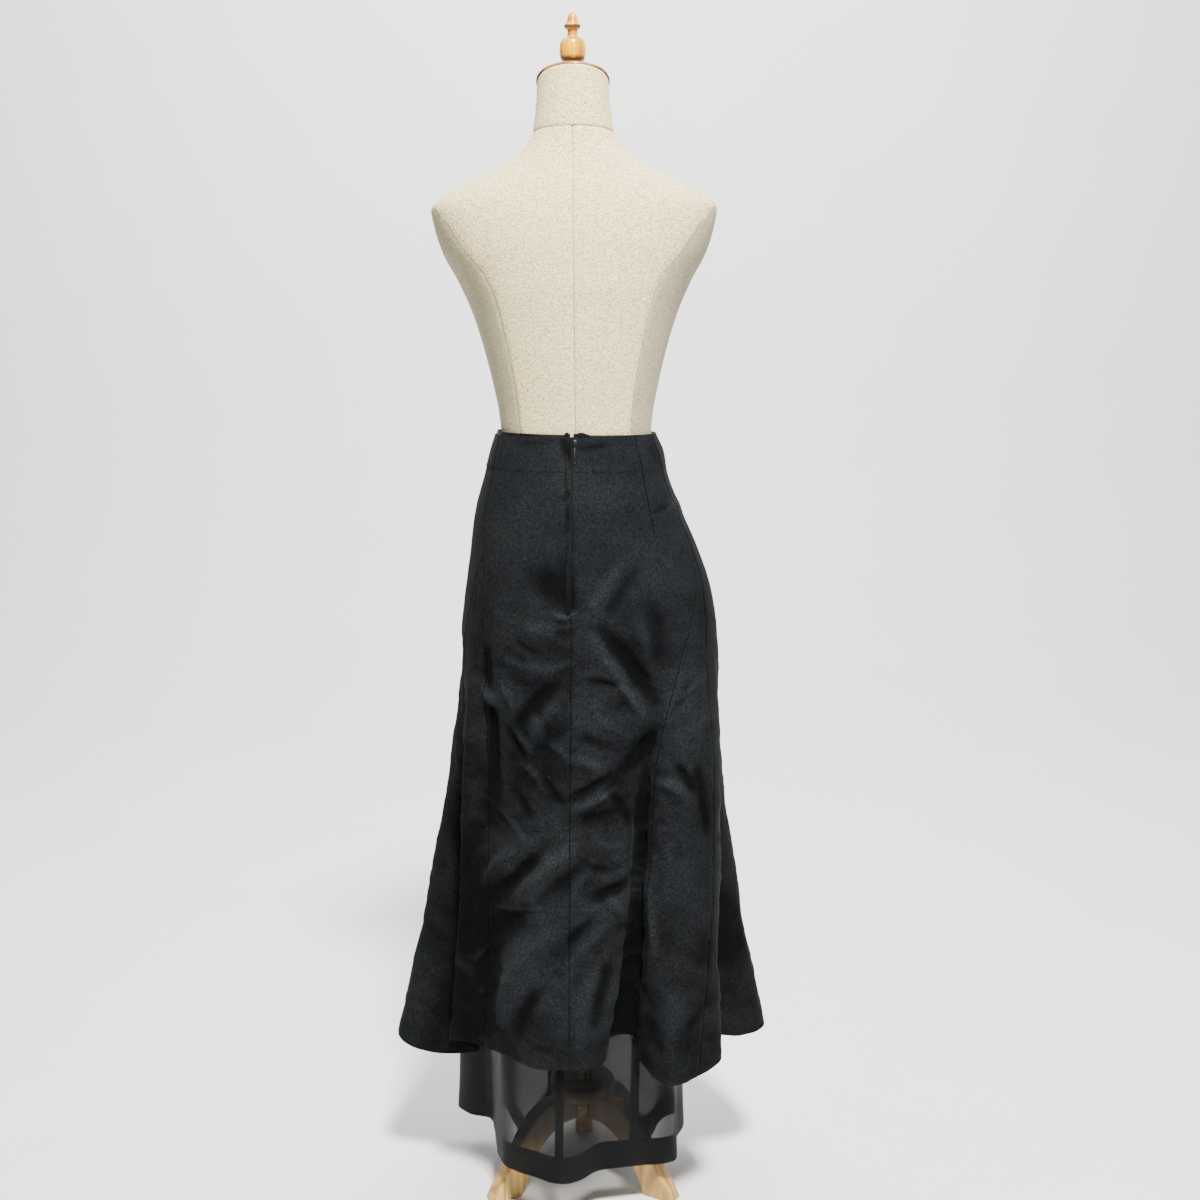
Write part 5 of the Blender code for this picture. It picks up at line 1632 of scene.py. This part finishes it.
# Floor, light and camera
FLOOR_SIDE = 9.0
FLOOR_NEAR_Y = 4.0
SWEEP_Y = -2.5  # where the floor starts to curve up
SWEEP_R = 1.2
WALL_H = 4.8
mesh = bpy.data.meshes.new("studio_floor")
rows = []
for k in range(25):
    f = k / 24
    if f < 0.4:
        rows.append((FLOOR_NEAR_Y + f / 0.4 * (SWEEP_Y - FLOOR_NEAR_Y), 0.0))
    elif f < 0.7:
        a = (f - 0.4) / 0.3 * math.pi / 2
        rows.append((SWEEP_Y - math.sin(a) * SWEEP_R, SWEEP_R - math.cos(a) * SWEEP_R))
    else:
        rows.append((SWEEP_Y - SWEEP_R, SWEEP_R + (f - 0.7) / 0.3 * WALL_H))
verts = [(x, y, z) for y, z in rows for x in (-FLOOR_SIDE, FLOOR_SIDE)]
mesh.from_pydata(verts, [], [(2 * i, 2 * i + 1, 2 * i + 3, 2 * i + 2) for i in range(len(rows) - 1)])
mesh.polygons.foreach_set("use_smooth", [True] * len(mesh.polygons))
floor = bpy.data.objects.new("studio_floor", mesh)
bpy.context.scene.collection.objects.link(floor)
floor_mat = Nodes("floor_paper")
tone = floor_mat.noise(floor_mat.place(), 3.0, 2.0)
grey = floor_mat.ramp(tone, [(0.2, (0.86, 0.86, 0.86)), (0.8, (0.89, 0.89, 0.89))])
mesh.materials.append(floor_mat.finish(grey))
floor_mat.set(Roughness=0.9)

world = bpy.data.worlds.new("studio_air")
bpy.context.scene.world = world
world.use_nodes = True
air = world.node_tree.nodes["Background"]
air.inputs["Color"].default_value = (1.0, 1.0, 1.0, 1.0)
air.inputs["Strength"].default_value = 0.07


def lamp(name, place, aim, size, power, colour=(1.0, 1.0, 1.0)):
    data = bpy.data.lights.new(name, "AREA")
    data.shape = "RECTANGLE"
    data.size, data.size_y = size
    data.energy = power
    data.color = colour
    obj = bpy.data.objects.new(name, data)
    obj.location = place
    obj.rotation_euler = (Vector(aim) - Vector(place)).to_track_quat("-Z", "Y").to_euler()
    bpy.context.scene.collection.objects.link(obj)


lamp("key", (-0.40, 1.80, 3.75), (0.0, 0.0, 0.95), (0.5, 0.5), 455.0, (1.0, 0.98, 0.93))
lamp("fill", (-1.2, 3.0, 1.2), (0.0, 0.0, 0.7), (1.5, 1.5), 3.0)
lamp("backdrop", (0.0, -1.4, 3.6), (0.0, -3.7, 0.9), (4.0, 1.2), 190.0)
lamp("floor_light", (0.0, -0.6, 3.8), (0.0, -1.6, 0.0), (4.0, 2.0), 60.0)

CAMERA_AT = Vector((-0.0307, 2.05, 1.223))
PITCH, ROLL = math.radians(10.0), math.radians(0.4)
ahead = Vector((0, -math.cos(PITCH), -math.sin(PITCH)))
level, upright = Vector((-1, 0, 0)), Vector((0, -math.sin(PITCH), math.cos(PITCH)))
up = upright * math.cos(ROLL) + level * math.sin(ROLL)
right = level * math.cos(ROLL) - upright * math.sin(ROLL)
camera_data = bpy.data.cameras.new("camera")
camera_data.lens, camera_data.sensor_width = 45.0, 36.0
camera_data.clip_start, camera_data.clip_end = 0.05, 60.0
camera = bpy.data.objects.new("camera", camera_data)
camera.matrix_world = Matrix((
    (right.x, up.x, -ahead.x, CAMERA_AT.x),
    (right.y, up.y, -ahead.y, CAMERA_AT.y),
    (right.z, up.z, -ahead.z, CAMERA_AT.z),
    (0, 0, 0, 1),
))
bpy.context.scene.collection.objects.link(camera)
bpy.context.scene.camera = camera
